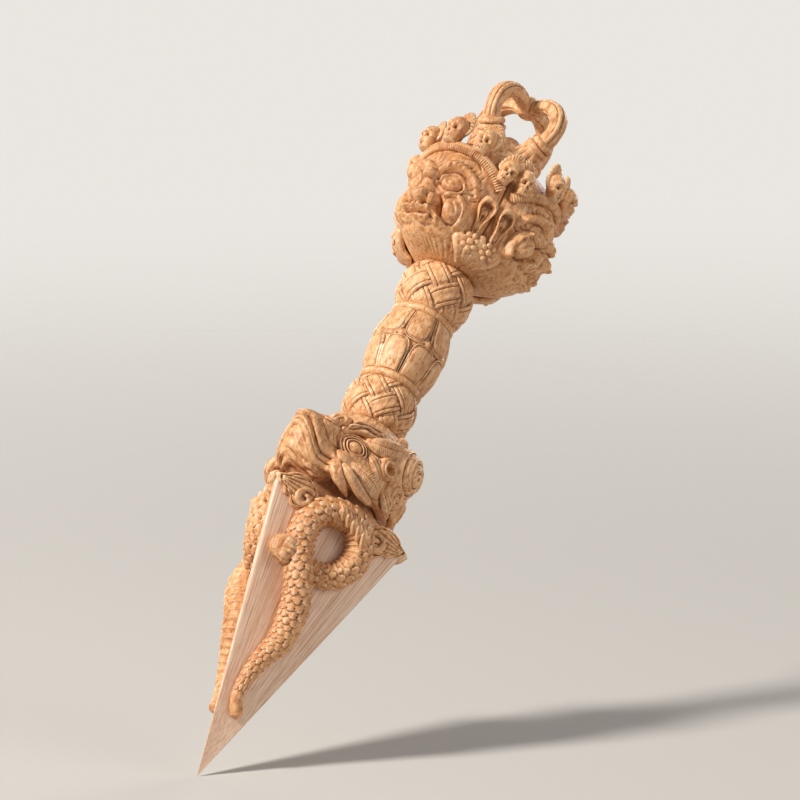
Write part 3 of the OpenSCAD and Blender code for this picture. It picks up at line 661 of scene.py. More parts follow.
def leafMeshes():
    cx, cz = leaf["middle"]
    outline = ring([(x - cx, z - cz) for x, z in leaf["outline"]])

    def veins(angle, share):  # a raised rim, and lines that run from the corner inwards
        x, z = outline(angle)
        fan = np.arctan2(z * share + cz + 0.4, -(x * share + cx) + 2)
        lines = 0.4 * saw(fan * 7) ** 3 * ease(1, 0.8, share)
        return leaf["thick"] * root(1 - share ** 5) - lines - 0.35 * hill(share, 0.8, 0.07)
    body = placed(plate(outline, veins, bowed(0.8), *leaf["grid"]), Matrix.Translation((cx, 0, cz)))
    curl = spiral(leaf["curl"], leaf["curlRadius"], 1.15, 100, -1)
    marks = [(x, -leaf["thick"] - 0.1 - 0.25 * k / len(curl), z) for k, (x, z) in enumerate(curl)]
    return [body, cord(marks, (0.3, 0.75, 0.7, 0.5), outwards, 70, 16, 0.8)]


leaves = []
for azimuth in faceAzimuths:
    for side in (1, -1):
        spot = (onFace(azimuth) @ Matrix.Translation((side * blade["half"], blade["face"], 0))
                @ Matrix.Scale(side, 4, (1, 0, 0)) @ turned(-90, "X"))
        leaves += [placed(mesh, spot) for mesh in leafMeshes()]
piece("cornerLeaves", leaves, "corner_leaves", honey)

# Handle
print("handle")
handle = {
    "seat": 5.9, "lowerKnot": (90, 10.5, 8.1), "upperKnot": (119.6, 11.5, 8.5),  # foot, height and radius
    "bands": 6, "slant": 1.35, "band": 0.74, "knotGrid": (330, 135),
    "collar": (7.3, 1.8), "collars": (100.5, 117.8), "collarGrid": (180, 40),
    "barrel": (102.3, 15.5, 8.6), "petals": 8, "petal": 6.4, "bead": 1.3, "barrelGrid": (330, 170),
}


def ribbons(azimuth, t):  # woven bands with a line along both edges
    turns, slant = azimuth * handle["bands"] / 360, t * handle["slant"]
    u, v = turns + slant, turns - slant
    even = (np.floor(u) + np.floor(v)) % 2 == 0
    best = np.zeros_like(u)
    for own, other, over in ((u, v, even), (v, u, ~even)):
        d = saw(own)
        arch = root(1 - saw(other) ** 2)
        level = 0.56 + 0.44 * np.where(over, 1, -1) * arch
        profile = level - 0.1 * (d / handle["band"]) ** 4 - 0.34 * crest(d, 0.46, 0.055) - 0.12 * hill(d, 0,
                                                                                                       0.3)
        best = np.maximum(best, np.where(d < handle["band"], profile, 0))
    return best


def knotMesh(foot, height, radius, turn):
    def surface(azimuth, z):
        t = (z - foot) / height
        body = mix(handle["seat"], radius - 0.75, np.clip(4 * t * (1 - t), 0, None) ** 0.6)
        return body + 0.95 * ribbons(azimuth + turn, t) * hill(t, 0.5, 0.62) ** 0.35
    return lathe(handle["knotGrid"], foot, foot + height, surface)


piece("wovenLower", [knotMesh(*handle["lowerKnot"], 12)], "lower_knot", honey)
piece("wovenUpper", [knotMesh(*handle["upperKnot"], 0)], "upper_knot", honey)


def collarMesh(foot):
    reach, height = handle["collar"]

    def surface(azimuth, z):
        t = np.clip((z - foot) / height, 0, 1)
        return reach - height / 2 * (1 - root(1 - (2 * t - 1) ** 2))
    return lathe(handle["collarGrid"], foot, foot + height, surface)


piece("ringLower", [collarMesh(handle["collars"][0])], "lower_collar", honey)
piece("ringUpper", [collarMesh(handle["collars"][1])], "upper_collar", honey)


def petals(azimuth, t):  # two rows of double-outlined petals that meet, tip against tip, in the waist
    best = np.zeros_like(azimuth)
    for row in (0, 1):
        q = t / 0.53 if row == 0 else (1 - t) / 0.5
        x = azimuth * handle["petals"] / 360 + row * 0.5
        d = (x - np.floor(x) - 0.5) * 2
        inside = 1 - (np.abs(d) / 0.95) ** 3.4 - np.clip(q, 0, 2) ** 5.5  # 1 in the middle, 0 on the outline
        plate = ease(0, 0.12, inside) * (0.75 + 0.25 * ease(0.1, 0.8, inside))
        line = 0.55 * crest(inside, 0.3, 0.06) + 0.4 * crest(inside, 0.46, 0.06)
        best = np.maximum(best, np.where((q < 1.05) & (q > -0.1), plate - line * (inside > 0.1), 0))
    return best


def barrelMesh():
    foot, height, radius = handle["barrel"]

    def surface(azimuth, z):
        t = (z - foot) / height
        body = mix(handle["seat"], radius - 0.7, np.sin(np.pi * np.clip(t * 0.94 + 0.03, 0, 1)) ** 0.7)
        across = (azimuth * handle["petals"] / 360) % 1 - 0.5
        bead = 1 - (np.abs(across) * handle["petal"] + np.abs(t - 0.56) * height) / handle["bead"]
        return body + np.maximum(0.8 * petals(azimuth, t), 0.95 * root(bead))
    return lathe(handle["barrelGrid"], foot, foot + height, surface)


piece("petalBarrel", [barrelMesh()], "lotus_barrel", honey)

# Heads: one surface a head, an angle from its nose and a height over the upper knot
print("heads")
heads = {
    "foot": 131.1, "height": 28.5, "radius": 18.2, "valley": 13.4, "seat": 8.8, "chin": 2, "jaw": 7,
    "degree": 0.318,  # millimetres of cheek in a degree
    "inset": 0.9,  # how far the plain block stays inside the solid's
    "grid": (286, 206), "softening": 6,
    "azimuths": {"head_front": 0, "head_right": 120, "head_left": 240},
}


def jawLine(angle):
    return mix(heads["chin"], heads["jaw"], (angle / 60) ** 2)


def headBody(angle, y):  # the plain block under the features
    jaw = jawLine(angle)
    t = (y - jaw) / (heads["height"] - jaw)
    body = np.where(t > 0, root(1 - (np.abs(2 * t - 0.9) / 1.1) ** 3), 0)
    cheek = mix(heads["valley"], heads["radius"], np.cos(np.radians(angle * 1.35)))
    return mix(heads["seat"], cheek, np.clip(body, 0, 1))


def faceRelief(angle, y, openMouth):
    x = np.abs(angle) * heads["degree"]
    form = Relief(x, y, np.zeros_like(x))
    tip, lips = (10.6, 6.5) if openMouth else (8.7, 5.2)  # heights of the nose and of the mouth
    # Sockets and the hollow in front of the ears
    form.skin -= 1.4 * hill(x, 5.3, 4.4) * hill(y, 14.4, 4.4)
    form.skin -= 0.9 * hill(x, 14, 3.6) * hill(y, 11, 8)
    # Forehead: swellings, wavy furrows, knotted brows and the third eye
    form.skin += 0.9 * hill(x, 3.8, 5) * hill(y, 19.6, 3.4)
    form.roll(bend((0.7, 14.7), (2.3, 17), (5.0, 18), (8.2, 17.5), (10.8, 15.8), (12.2, 13.6)), (1.4, 0.8),
              1.5)
    for k in range(9):
        foot = (1.6 + 1.2 * k, 16.3 + 1.5 * math.sin(math.pi * (k + 1) / 10))
        form.cut(bend(foot, (foot[0] + 0.2, foot[1] + 1), (foot[0] + 0.9, foot[1] + 1.9), count=6), 0.17, 0.4)
    for level in (20.4, 21.8):
        form.cut(bend((1.7, level), (3.4, level + 0.9), (5.6, level + 0.4), (8.6, level + 0.9),
                      (11, level - 1.4)),
                   0.24, 0.45)
    form.lump((0, 19.6), (1.1, 1.9), 1.0)
    form.cut([(0.01, 18.5), (0.01, 20.8)], 0.28, 0.5)
    # Eyes: a bulging ball under a heavy lid, and the pupil
    form.lump((5.3, 13.9), (2.7, 2.0), 2.3, -6)
    form.roll(bend((2.3, 13), (3.6, 15.3), (5.6, 16.2), (7.7, 15.2), (9.0, 13.2)), (0.6, 0.45), 1.0)
    form.roll(bend((2.4, 12.9), (3.9, 11.7), (5.8, 11.4), (7.6, 12), (8.9, 13.2)), (0.5, 0.4), 0.8)
    form.cut(spiral((5.2, 13.8), 1.1, 0.97, 0), 0.2, 0.4)
    for lift in (14.7, 13.2, 11.8):
        form.cut(bend((9.5, 13.2 + 0.3 * (lift - 13.2)), (11, lift), (12.6, lift + 0.9)), 0.26, 0.5)
    # Nose: ridge with snarling folds, bulb, wings and nostrils
    form.roll([(0, 15.6), (0, 12.4), (0, tip + 0.6)], (1.3, 2.2), 2.0)
    form.lump((0, tip), (2.1, 1.8), 1.5)
    form.lump((2.7, tip + 0.1), (1.7, 1.6), 2.1, 20)
    form.cut(bend((1.9, tip + 1.5), (3.2, tip + 1.3), (4.1, tip + 0.2), (3.7, tip - 1)), 0.22, 0.5)
    form.skin -= 2.0 * hill(x, 1.5, 1.0) * hill(y, tip - 1.7, 1.0)
    for level in (12.3, 13.6, 14.8):
        fold = bend((0, level + 0.5), (1.3, level + 0.3), (2.3, level - 0.7))
        form.roll(fold, (0.5, 0.35), 0.35)
        form.cut(fold + (0, 0.62), 0.2, 0.28)
    # Cheek: a ball in a crescent, and the deep smile crease beside the nose
    form.lump((8.2, tip - 1), (3.1, 2.9), 1.9, 20)
    form.roll(bend((5.2, tip + 1.9), (8.0, tip + 2.6), (10.7, tip + 1.1), (11.6, tip - 1.7),
                   (10.6, tip - 4.3)),
                (0.6, 0.9), 1.4)
    form.cut(bend((3.9, tip + 1.9), (4.7, tip), (5.4, tip - 1.8), (7.1, tip - 3.5), (9.2, tip - 4.1)), 0.5,
             1.4)
    form.skin -= 1.9 * hill(x, 5.2, 1.2) * hill(y, tip - 1.1, 1.9)
    form.cut(bend((7.2, tip + 0.4), (8.6, tip - 0.4), (9.3, tip - 1.9)), 0.3, 0.5)
    # Mouth
    if openMouth:
        form.roll(bend((0, lips + 2.3), (2.4, lips + 2.4), (4.6, lips + 1.5), (5.6, lips - 0.2)),
                  (0.75, 0.65), 1.3)
        form.roll(bend((0, lips - 2.2), (2.9, lips - 2.1), (4.8, lips - 1.4), (5.6, lips - 0.2)),
                  (0.85, 0.65), 1.4)
        hole = (x / 5) ** 2 + ((y - lips - 0.02 * x * x) / 2) ** 2
        inner = np.minimum(form.skin, 0.4) - 2.8 * root(1 - hole)
        form.skin = np.where(hole < 1, inner, form.skin)
        for k in range(3):
            form.peg((0.62 + 1.22 * k, lips + 1.3 - 0.1 * k), (0.6, 0.95), 1.0)
            form.peg((0.62 + 1.22 * k, lips - 1.4 + 0.12 * k), (0.58, 0.7), 0.8)
        form.peg((4.2, lips + 0.7), (0.7, 1.7), 1.7)
        form.peg((0, lips - 0.5), (2.4, 0.8), 0.3)
    else:
        form.lump((0, lips + 0.4), (5.2, 2.6), 0.8)
        form.roll(bend((0, lips + 1.1), (2.4, lips + 1), (4.4, lips + 0.2), (5.7, lips - 0.9)), (0.9, 0.6),
                  1.1)
        form.roll(bend((0, lips - 1), (2.6, lips - 0.9), (4.4, lips - 0.8), (5.7, lips - 0.9)),
                  (0.85, 0.55), 1.1)
        form.cut(bend((0, lips + 0.1), (2.6, lips), (5.9, lips - 1)), 0.3, 1.0)
        form.lump((3.3, lips + 0.1), (0.55, 1.2), 1.3, -6)
    # Moustache, chin and the curled beard that runs along the jaw to the ear
    form.roll(bend((0.8, tip - 2.2), (2.8, tip - 2.1), (5.0, tip - 3.1), (7.4, tip - 4.6),
                   (9.4, tip - 4.5)), (0.7, 0.3), 1.0)
    if not openMouth:
        whisker = bend((6, tip - 4), (8.6, tip - 4.7), (11.6, tip - 4), (14.6, tip - 2.2))
        form.roll(whisker, (0.9, 0.5), 0.7)
        form.cut(whisker, 0.16, 0.3)
    form.lump((0, lips - 3.4), (3.3, 1.7), 1.3)
    over = y - jawLine(angle)
    beard = hill(over, 1.9, 2.2) * ease(3.4, 6, x) * ease(16, 13, x)
    form.skin += beard * (0.5 + 0.1 * np.sin(x * 2.9 + 0.8 * np.sin(y * 2.1)))
    return form.skin * ease(-0.6, 2.4, over + 0.6 * hill(x, 0, 5)) - heads["inset"]


def headMesh(openMouth):
    foot, height = heads["foot"], heads["height"]

    def place(u, v):  # v runs out along the underside, up the mantle and over the top to the axis
        side = np.clip((u - 0.02) / 0.96, 0, 1)
        angle = (side - 0.5) * 120
        inner = np.clip(np.minimum(u, 1 - u) / 0.02, 0, 1)
        jaw = jawLine(angle)
        under, up = np.clip((v - 0.02) / 0.18, 0, 1), np.clip((v - 0.2) / 0.78, 0, 1)
        y = jaw + (height - jaw) * up
        rim = headBody(angle, jaw + 1e-3) + faceRelief(angle, jaw + 1e-3, openMouth)
        throat = mix(heads["seat"] * 0.72, rim, under)
        hairs = saw(angle / 5 + 0.6 * np.sin(angle / 9) + 0.8 * under * np.sign(angle))
        fold = 0.3 * hairs ** 3 * hill(under, 0.6, 0.55)
        reach = np.where(v < 0.2, throat, headBody(angle, y) + faceRelief(angle, y, openMouth))
        z = foot + np.where(v < 0.2, jaw * (0.3 * under + 0.7 * under ** 2.4) + fold, y)
        close = np.clip(np.minimum(v, 1 - v) / 0.02, 0, 1)
        return around(angle, reach * close * inner, z)
    return softened(wrap(*heads["grid"], place), heads["softening"])


for name, azimuth in heads["azimuths"].items():
    mesh = headMesh(name != "head_front")
    mesh.transform(turned(azimuth, "Z"))
    piece(name.replace("head", "wrathful"), [mesh], name, amber)

# Water monster: the block of its head, with the blade in its open mouth
print("water monster")
makara = {
    "foot": 75, "height": 15, "radius": 12.6, "snout": 21, "drop": 4, "rise": 2.6, "lip": 1,
    "eyes": (39, 79.2),
    # Nostril, brow, cheek and root of the mane: azimuth, height in hundredths, half widths, share of the radius
    "marks": [(20, 41, 13, 19, 0.15), (40, 60, 22, 16, 0.12), (66, -10, 26, 30, 0.1),
              (120, 20, 40, 40, 0.08)],
    "degree": 0.26, "grid": (340, 216),
    # Locks of the mane: azimuth, height, half width, half height, how far it stands out, turns and their hand
    "locks": [
        (112, 82, 6.2, 5.6, 4.6, 3.0, 1), (104, 75.6, 3.9, 4.3, 3.3, 2.4, -1),
        (140, 76.2, 5.0, 4.8, 3.6, 2.6, -1),
        (152, 84, 4.6, 4.4, 3.2, 2.4, 1), (168, 78.4, 3.4, 3.8, 3.2, 2.2, 1),
    ],
}


def jawEdge(azimuth):
    return makara["foot"] - makara["drop"] + (makara["drop"] + makara["rise"]) * hill(azimuth, 0, 19)


def makaraSkin(azimuth, z):
    a = (azimuth + 180) % 360 - 180
    up = (z - makara["foot"]) / makara["height"]
    t = np.clip((z - jawEdge(a)) / (makara["foot"] + makara["height"] - jawEdge(a)), 0, 1)
    side = mix(handle["seat"], makara["radius"], np.clip(1 - t ** 3.2, 0, 1) ** 0.6)
    beak = hill(a, 0, 27) * (1 - ease(0, 1, up * 3 - 1))
    cheek = 0.32 * hill(np.abs(a), 31, 30) * (1 - ease(0, 1, up * 2.5 + 0.2))
    skin = side + (makara["snout"] - makara["radius"]) * (beak + cheek)
    for angle, level, wide, tall, lift in makara["marks"]:
        skin = skin + lift * makara["radius"] * hill(up * 100, level, tall) * hill(np.abs(a), angle,
                                                                                   wide) * (t < 1)
    return skin


def makaraRelief(azimuth, z):  # folds of the snout, nostrils, crest and fine hair over the plain block
    a = np.abs((azimuth + 180) % 360 - 180)
    x, over = a * makara["degree"], z - jawEdge(a)
    form = Relief(x, z, np.full_like(x, -0.25))
    front = ease(46, 34, a)
    lipRoll = 0.5 * hill(over, 1.7, 0.8) - 0.55 * crest(over, 2.7, 0.3)
    form.skin += front * (lipRoll + 0.75 * hill(over, 4.6, 1.9) - 0.5 * crest(over, 6.6, 0.35))
    # Crest, nostrils with their wings, and folds down to the corner of the mouth
    form.roll(bend((0, 80.6), (0, 84), (0, 87.6)), (1.3, 0.7), 1.0)
    for level in (81.2, 82.6, 84, 85.4, 86.8):
        form.cut(bend((0, level), (0.8, level + 0.3), (1.5, level + 1.1)), 0.2, 0.55)
    form.lump((4.1, 84.2), (2.0, 2.2), 2.0)
    form.roll(spiral((4.1, 84), 2.1, 1.2, 230, 1), (0.7, 0.35), 1.2)
    form.skin -= 2.4 * hill(np.hypot(x - 3.7, z - 83.2), 0, 0.9)
    for k in range(3):
        form.cut(bend((4.6 + 0.5 * k, 81.2 - 0.9 * k), (5.0 + 0.9 * k, 78.6 - 1.1 * k),
                      (6.6 + k, 75.6 - 1.1 * k)),
                   0.22, 0.5)
    # Brows that sweep back over the eye
    for k, (rise, reach) in enumerate(((0, 1.5), (1.7, 1.7), (3.3, 1.3))):
        flame = bend((6.6 + 0.8 * k, 82 + rise * 0.9), (9.4 + k, 83.3 + rise), (12.6 + k, 83.6 + rise),
                     (15.4 + k, 85 + rise * 0.7))
        form.roll(flame, (1.0, 0.35), reach)
        form.cut(flame + (0, 0.1), 0.16, 0.3)
        form.cut(flame - (0, 1.0), 0.22, 0.6)
    back = ease(92, 106, a) * ease(0, 1.2, over)
    form.skin += back * 0.3 * np.sin(a * 0.95 + 1.2 * np.sin(z * 0.6 + a * 0.03))
    neck = ease(86.4, 87.2, z)
    collar = -0.2 + 0.4 * saw(azimuth / 360 * 30) ** 2 * hill(z, 88.6, 1.5)
    return mix(form.skin, collar, neck) * ease(0, 0.5, over + 0.3)


def makaraMesh():
    top, lipWidth = makara["foot"] + makara["height"], makara["lip"]

    def place(u, v):  # v runs out along the palate, round the lip, up the outside and in to the axis
        turn = u * 360
        azimuth = turn - 24 * np.sin(np.radians(turn))
        a = (azimuth + 180) % 360 - 180
        low, gaping = jawEdge(a), ease(40, 16, np.abs(a))
        lip = makaraSkin(a, low)
        inner = 7.6 * 1.13
        start = np.stack([0 * a + inner, makara["foot"] - 5.5 * gaping * np.clip(v / 0.05, 0, 1)])
        middle = np.stack([mix(inner * 1.08, lip * 1.02, gaping),
                           mix(makara["foot"] - makara["drop"] * 0.35, 68, gaping)])
        finish = np.stack([mix(inner * 1.16, lip - 0.4 * lipWidth, gaping), low])
        q = np.clip((v - 0.06) / 0.26, 0, 1)
        palate = (1 - q) ** 2 * start + 2 * q * (1 - q) * middle + q ** 2 * finish
        ripple = np.sin(q * 30 + 2.5 * np.sin(a / 5)) * np.cos(a / 3.6 + 5 * q)
        groove = gaping * 0.4 * ripple * np.sin(math.pi * q) ** 0.4
        palate += groove * np.stack([-q ** 2, 1 - 0.6 * q])
        bent = np.clip((v - 0.32) / 0.06, 0, 1) * math.pi
        lipArc = np.stack([mix(finish[0], lip, (1 - np.cos(bent)) / 2), low - 0.25 * np.sin(bent)])
        z = low + (top - low) * np.clip((v - 0.38) / 0.58, 0, 1)
        outer = np.stack([makaraSkin(a, z) + makaraRelief(a, z), z])
        r, height = np.where(v < 0.06, start, np.where(v < 0.32, palate, np.where(v < 0.38, lipArc, outer)))
        close = np.clip(np.minimum(v / 0.05, (1 - v) / 0.04), 0, 1)
        return around(azimuth, r * close, height)
    return softened(wrap(*makara["grid"], place), 1)


def onSkin(side, marks):  # marks of azimuth, height and lift become points over the block
    return [tuple(around(side * a, skinAt(a, z) + lift, z).tolist()) for a, z, lift in marks]


def onBoth(build):  # the same carving on the right and the left of the head
    return [mesh for side in (1, -1) for mesh in build(side)]


def lipMeshes():  # a thin rolled edge with a second line behind it
    a = np.linspace(-47, 47, 300)
    meshes = []
    for lift, rise, width in ((-0.3, 0.2, makara["lip"] * 0.7), (-0.05, 1.45, makara["lip"] * 0.42)):
        z = jawEdge(a) + rise
        close = np.sqrt(np.clip((47 - np.abs(a)) / 5, 0, 1))
        path = around(a, makaraSkin(a, z) + lift, z)
        meshes.append(strand(path, width * close, path * (1, 1, 0), 20))
    return meshes


def skinAt(azimuth, z):
    return float(makaraSkin(np.array([float(azimuth)]), np.array([float(z)]))[0])


def eyeMeshes(side):  # an almond ball inside folded lids, lower at the back
    azimuth, z = makara["eyes"]

    def almond(turn):
        return 4.3 * np.cos(turn), 3.1 * np.sin(turn) * (1 - 0.25 * np.abs(np.cos(turn)) ** 3)

    def lids(turn, share):
        ball_ = 2.3 * root(1 - (share / 0.44) ** 2)
        dome = 1.9 * root(1 - share ** 2.4) - 0.35
        folds = 0.4 * np.cos((share - 0.5) * 2 * math.pi * 5.6) * ease(0.4, 0.48, share) * ease(1, 0.94,
                                                                                                share)
        return np.maximum(ball_, dome) + folds - 0.4 * hill(share, 0.43, 0.05) - 0.2 * hill(share, 0.0, 0.1)
    spot = (onMantle(side * azimuth, skinAt(azimuth, z) - 0.9, z) @ turned(side * 16, "Y")
            @ turned(side * 10, "Z"))
    return [placed(plate(almond, lids, bowed(1.6), 80, 34), spot)]


def fangMeshes(side):
    first = onSkin(side, [(30, 73.8, -1.0), (34, 71.9, 0.1), (38, 70.4, 0.3), (45, 69.2, 0.0),
                          (54, 68.2, -0.9)])
    second = onSkin(side, [(37, 73.6, 0.0), (43, 72.2, 1.3), (50, 71, 1.8), (62, 69.8, 1.6),
                           (74, 69.5, 0.7), (82, 70.2, -0.6)])
    return [cord(first, (1.1, 1.45, 1.35, 0.9, 0.2), None, 80, 24, 1, 0.05, carved(0.8, 2, 0, 0.1)),
            cord(second, (0.6, 1.05, 1.15, 1.2, 0.9, 0.3), None, 90, 20, 1, 0.05, carved(0.85, 2, 0, 0.1))]


def earLeafMeshes(side):
    leaves = [  # azimuth, height and lift along each leaf; widths, flatness, lines along it and strokes across
        ([(42, 74.9, -0.4), (52, 74.3, 0.4), (62, 73.5, 0.8), (73, 72.5, 0.7), (84, 71.7, -0.1)],
         (0.5, 1.8, 2.3, 2.0, 0.4), 0.42, 2, 24),
        ([(46, 82.4, -0.5), (56, 82.2, 0.5), (68, 82.7, 1.0), (82, 84, 1.3), (95, 85.8, 0.9)],
         (0.8, 2.0, 2.3, 1.8, 0.5), 0.45, 2, 30),
        ([(54, 79.9, -0.4), (62, 78.8, 0.2), (70, 77.4, 0.2), (77, 75.6, 0)], (0.5, 1.3, 1.3, 0.4), 0.5, 3,
         0),
        ([(84, 74.8, -0.4), (90, 73.4, 0.6), (99, 71.9, 0.8), (108, 71.3, 0.1)], (0.5, 1.5, 1.7, 0.4), 0.5,
         3, 0),
    ]
    meshes = [cord(onSkin(side, marks), widths, None, 110, 30, 1, 0.06, carved(flat, lines, hatch))
              for marks, widths, flat, lines, hatch in leaves]

    def cup(turn):
        return 2.9 * np.cos(turn) * (1 + 0.2 * np.sin(turn)), 2.5 * np.sin(turn)

    def bowl(turn, share):
        return 2.3 * root(1 - share ** 5) - 3.4 * hill(share, 0, 0.55) - 0.25 * hill(share, 0.72, 0.08)
    spot = onMantle(side * 80, skinAt(80, 78.8) - 0.6, 78.8) @ turned(side * 30, "Y")
    return meshes + [placed(plate(cup, bowl, bowed(1.8), 64, 28), spot)]


def bossMesh(side, azimuth, z, wide, tall, rise, turns, hand):  # a lock of the mane, wound in
    def rim(turn):
        return wide * np.cos(turn), tall * np.sin(turn)

    def hair(turn, share):
        winding = share * turns + hand * turn / (2 * math.pi)
        dome = rise * root(1 - share ** 2.6)
        lines = 1.0 * saw(winding) ** 3 + 0.28 * saw(winding * 3) ** 2
        return dome - lines * ease(1, 0.86, share) * ease(0.02, 0.2, share) - 0.6 * hill(share, 0, 0.12)
    spot = onMantle(side * azimuth, makara["radius"] * 0.9, z)
    return placed(plate(rim, hair, bowed(2.2), 100, 34), spot)


def maneMeshes(side):
    meshes = []
    for azimuth, z, wide, tall, rise, turns, hand in makara["locks"]:
        meshes.append(bossMesh(side, azimuth, z, wide, tall, rise, turns, side * hand))
    for marks, width in (([(88, 86.8, -0.2), (100, 88.2, 0.4), (116, 88.8, 0.6), (132, 87.8, 0.1)], 1.2),
                         ([(128, 87.6, 0.1), (142, 88, 0.6), (158, 87.4, 0.5), (174, 86.2, 0)], 1.2),
                         ([(118, 72.9, 0.2), (130, 72, 0.8), (146, 71.8, 0.8), (160, 72.6, 0)], 1.3)):
        meshes.append(cord(onSkin(side, marks), (0.3, width, width * 1.1, width * 0.9, 0.3), None, 90, 26,
                           1, 0.05,
                           carved(0.7, 4, 0, 0.2)))
    return meshes


piece("monsterHead", [makaraMesh()], "makara_head", honey)
piece("monsterLip", lipMeshes(), "makara_lip", honey)
piece("monsterEyes", onBoth(eyeMeshes), "makara_eyes", honey)
piece("monsterFangs", onBoth(fangMeshes), "makara_fangs", honey)
piece("monsterEars", onBoth(earLeafMeshes), "makara_ears", honey)
piece("monsterMane", onBoth(maneMeshes), "makara_mane", honey)

# Ears, earrings and locks: in the frame of a place on the mantle, X along it, -Y outwards, Z up
print("ears and crowns")
ear = {"azimuth": 50, "height": 11.4, "middle": 131.1 + 28.5 * 0.36, "thick": 1.6, "flower": 2.5,
       "lean": 13, "tuck": 1.1}
ear["back"] = float(headBody(np.array([50.0]),
                             np.array([ear["middle"] - heads["foot"]]))[0]) - 0.6 - ear["tuck"]


def earMeshes():  # a long ear: rolled rim, inner fold, hollow and hanging lobe
    outline = ring([(0.2, 5.6), (-1.3, 5.0), (-2.0, 3.2), (-1.6, 1.0), (-1.0, -1.2), (-0.85, -3.6),
                    (-0.5, -5.6), (0.5, -5.6),
                    (0.9, -3.6), (1.2, -1.4), (2.0, 0.8), (2.5, 3.0), (1.8, 4.9)])

    def front(turn, share):
        upper = ease(-2.2, 0.2, outline(turn)[1] * share)
        rim = 1.1 * hill(share, 0.8, 0.26) * mix(0.5, 1, upper)
        hollow = -0.6 * hill(share, 0.46, 0.26) * upper
        fold = 0.75 * hill(share, 0.5, 0.14) * upper * ease(-0.6, 0.4, np.cos(turn + 0.6))
        return (1.3 + rim + hollow + fold - 0.8 * hill(share, 0, 0.3) * upper) * root(1 - share ** 8)
    return [plate(outline, front, bowed(0.9), 72, 26)]


def flowerMeshes():
    foot = -ear["height"] * 0.45 - ear["flower"] * 0.4
    petals = [ball((1.55 * math.cos(k), -ear["thick"] - 0.35, foot + 1.55 * math.sin(k)), (0.72, 0.55, 0.72))
              for k in np.radians(np.arange(7) * 360 / 7 + 20)]
    return petals + [ball((0, -ear["thick"] + 0.1, foot), (1.9, 0.55, 1.9)),
                     ball((0, -ear["thick"] - 0.75, foot), (0.75, 0.6, 0.75))]


def lockMeshes():
    strands = []
    for k in range(-2, 3):
        spread = k / 2
        far = abs(spread)
        marks = [(spread * 1.3, 0, 0.2), (spread * 2.4, -2.4, 1.2), (spread * 3.9, -4.3 + 0.5 * far, 2.7),
                 (spread * 5.1, -5.2 + 1.1 * far, 4.8 - 0.2 * far),
                 (spread * 5.8, -5.3 + 1.7 * far, 6.9 - 0.6 * far)]
        strands.append(cord(marks, (0.6, 0.95, 1.35, 1.5, 0.6), (0, -0.7, -0.7), 60, 18, 0.75,
                            shape=lambda turn, v: 1 - 0.1 * saw(turn / (2 * math.pi) * 7) ** 4))
    return strands


listening, jewels, locks = [], [], []
for azimuth in headAzimuths:
    for side in (1, -1):
        spot = (onMantle(azimuth + side * ear["azimuth"], ear["back"], ear["middle"])
                @ turned(ear["lean"], "X") @ Matrix.Scale(side, 4, (1, 0, 0)))
        listening += [placed(mesh, spot) for mesh in earMeshes()]
        jewels += [placed(mesh, spot) for mesh in flowerMeshes()]
for azimuth in faceAzimuths:
    locks += [placed(mesh, onMantle(azimuth, 8.2, heads["foot"])) for mesh in lockMeshes()]
piece("longEars", listening, "ears", amber)
piece("flowerEarrings", jewels, "earrings", amber)
piece("hairLocks", locks, "hair_locks", amber)

# Crowns: a twisted band that arches over the brow, and five skulls with fluted leaves behind them
crown = {
    "height": heads["height"] * 0.82, "drop": heads["height"] * 0.18, "step": 25, "band": 1.25, "lift": 1.08,
    "strokes": 68,
}


def crownHeight(angle):
    return crown["height"] - crown["drop"] * (np.abs(angle) / 52) ** 2.2


def bandMesh():
    angle = np.linspace(-56, 56, 420)
    y = crownHeight(angle)
    path = around(angle, headBody(angle, y), y + heads["foot"])
    close = np.sqrt(np.clip((56 - np.abs(angle)) / 2, 0, 1))

    def section(turn, v):  # flat and tall, with a roll along its upper edge and short strokes below it
        flat = 1 / np.hypot(np.cos(turn), np.sin(turn) / 0.72)
        lower = ease(0.25, 0, np.cos(turn))
        return flat * (1 - 0.13 * crest(np.cos(turn), 0.32, 0.1)
                       - 0.3 * lower * saw(v * crown["strokes"]) ** 2)
    return strand(path, crown["band"] * close, (0, 0, 1), 24, section)


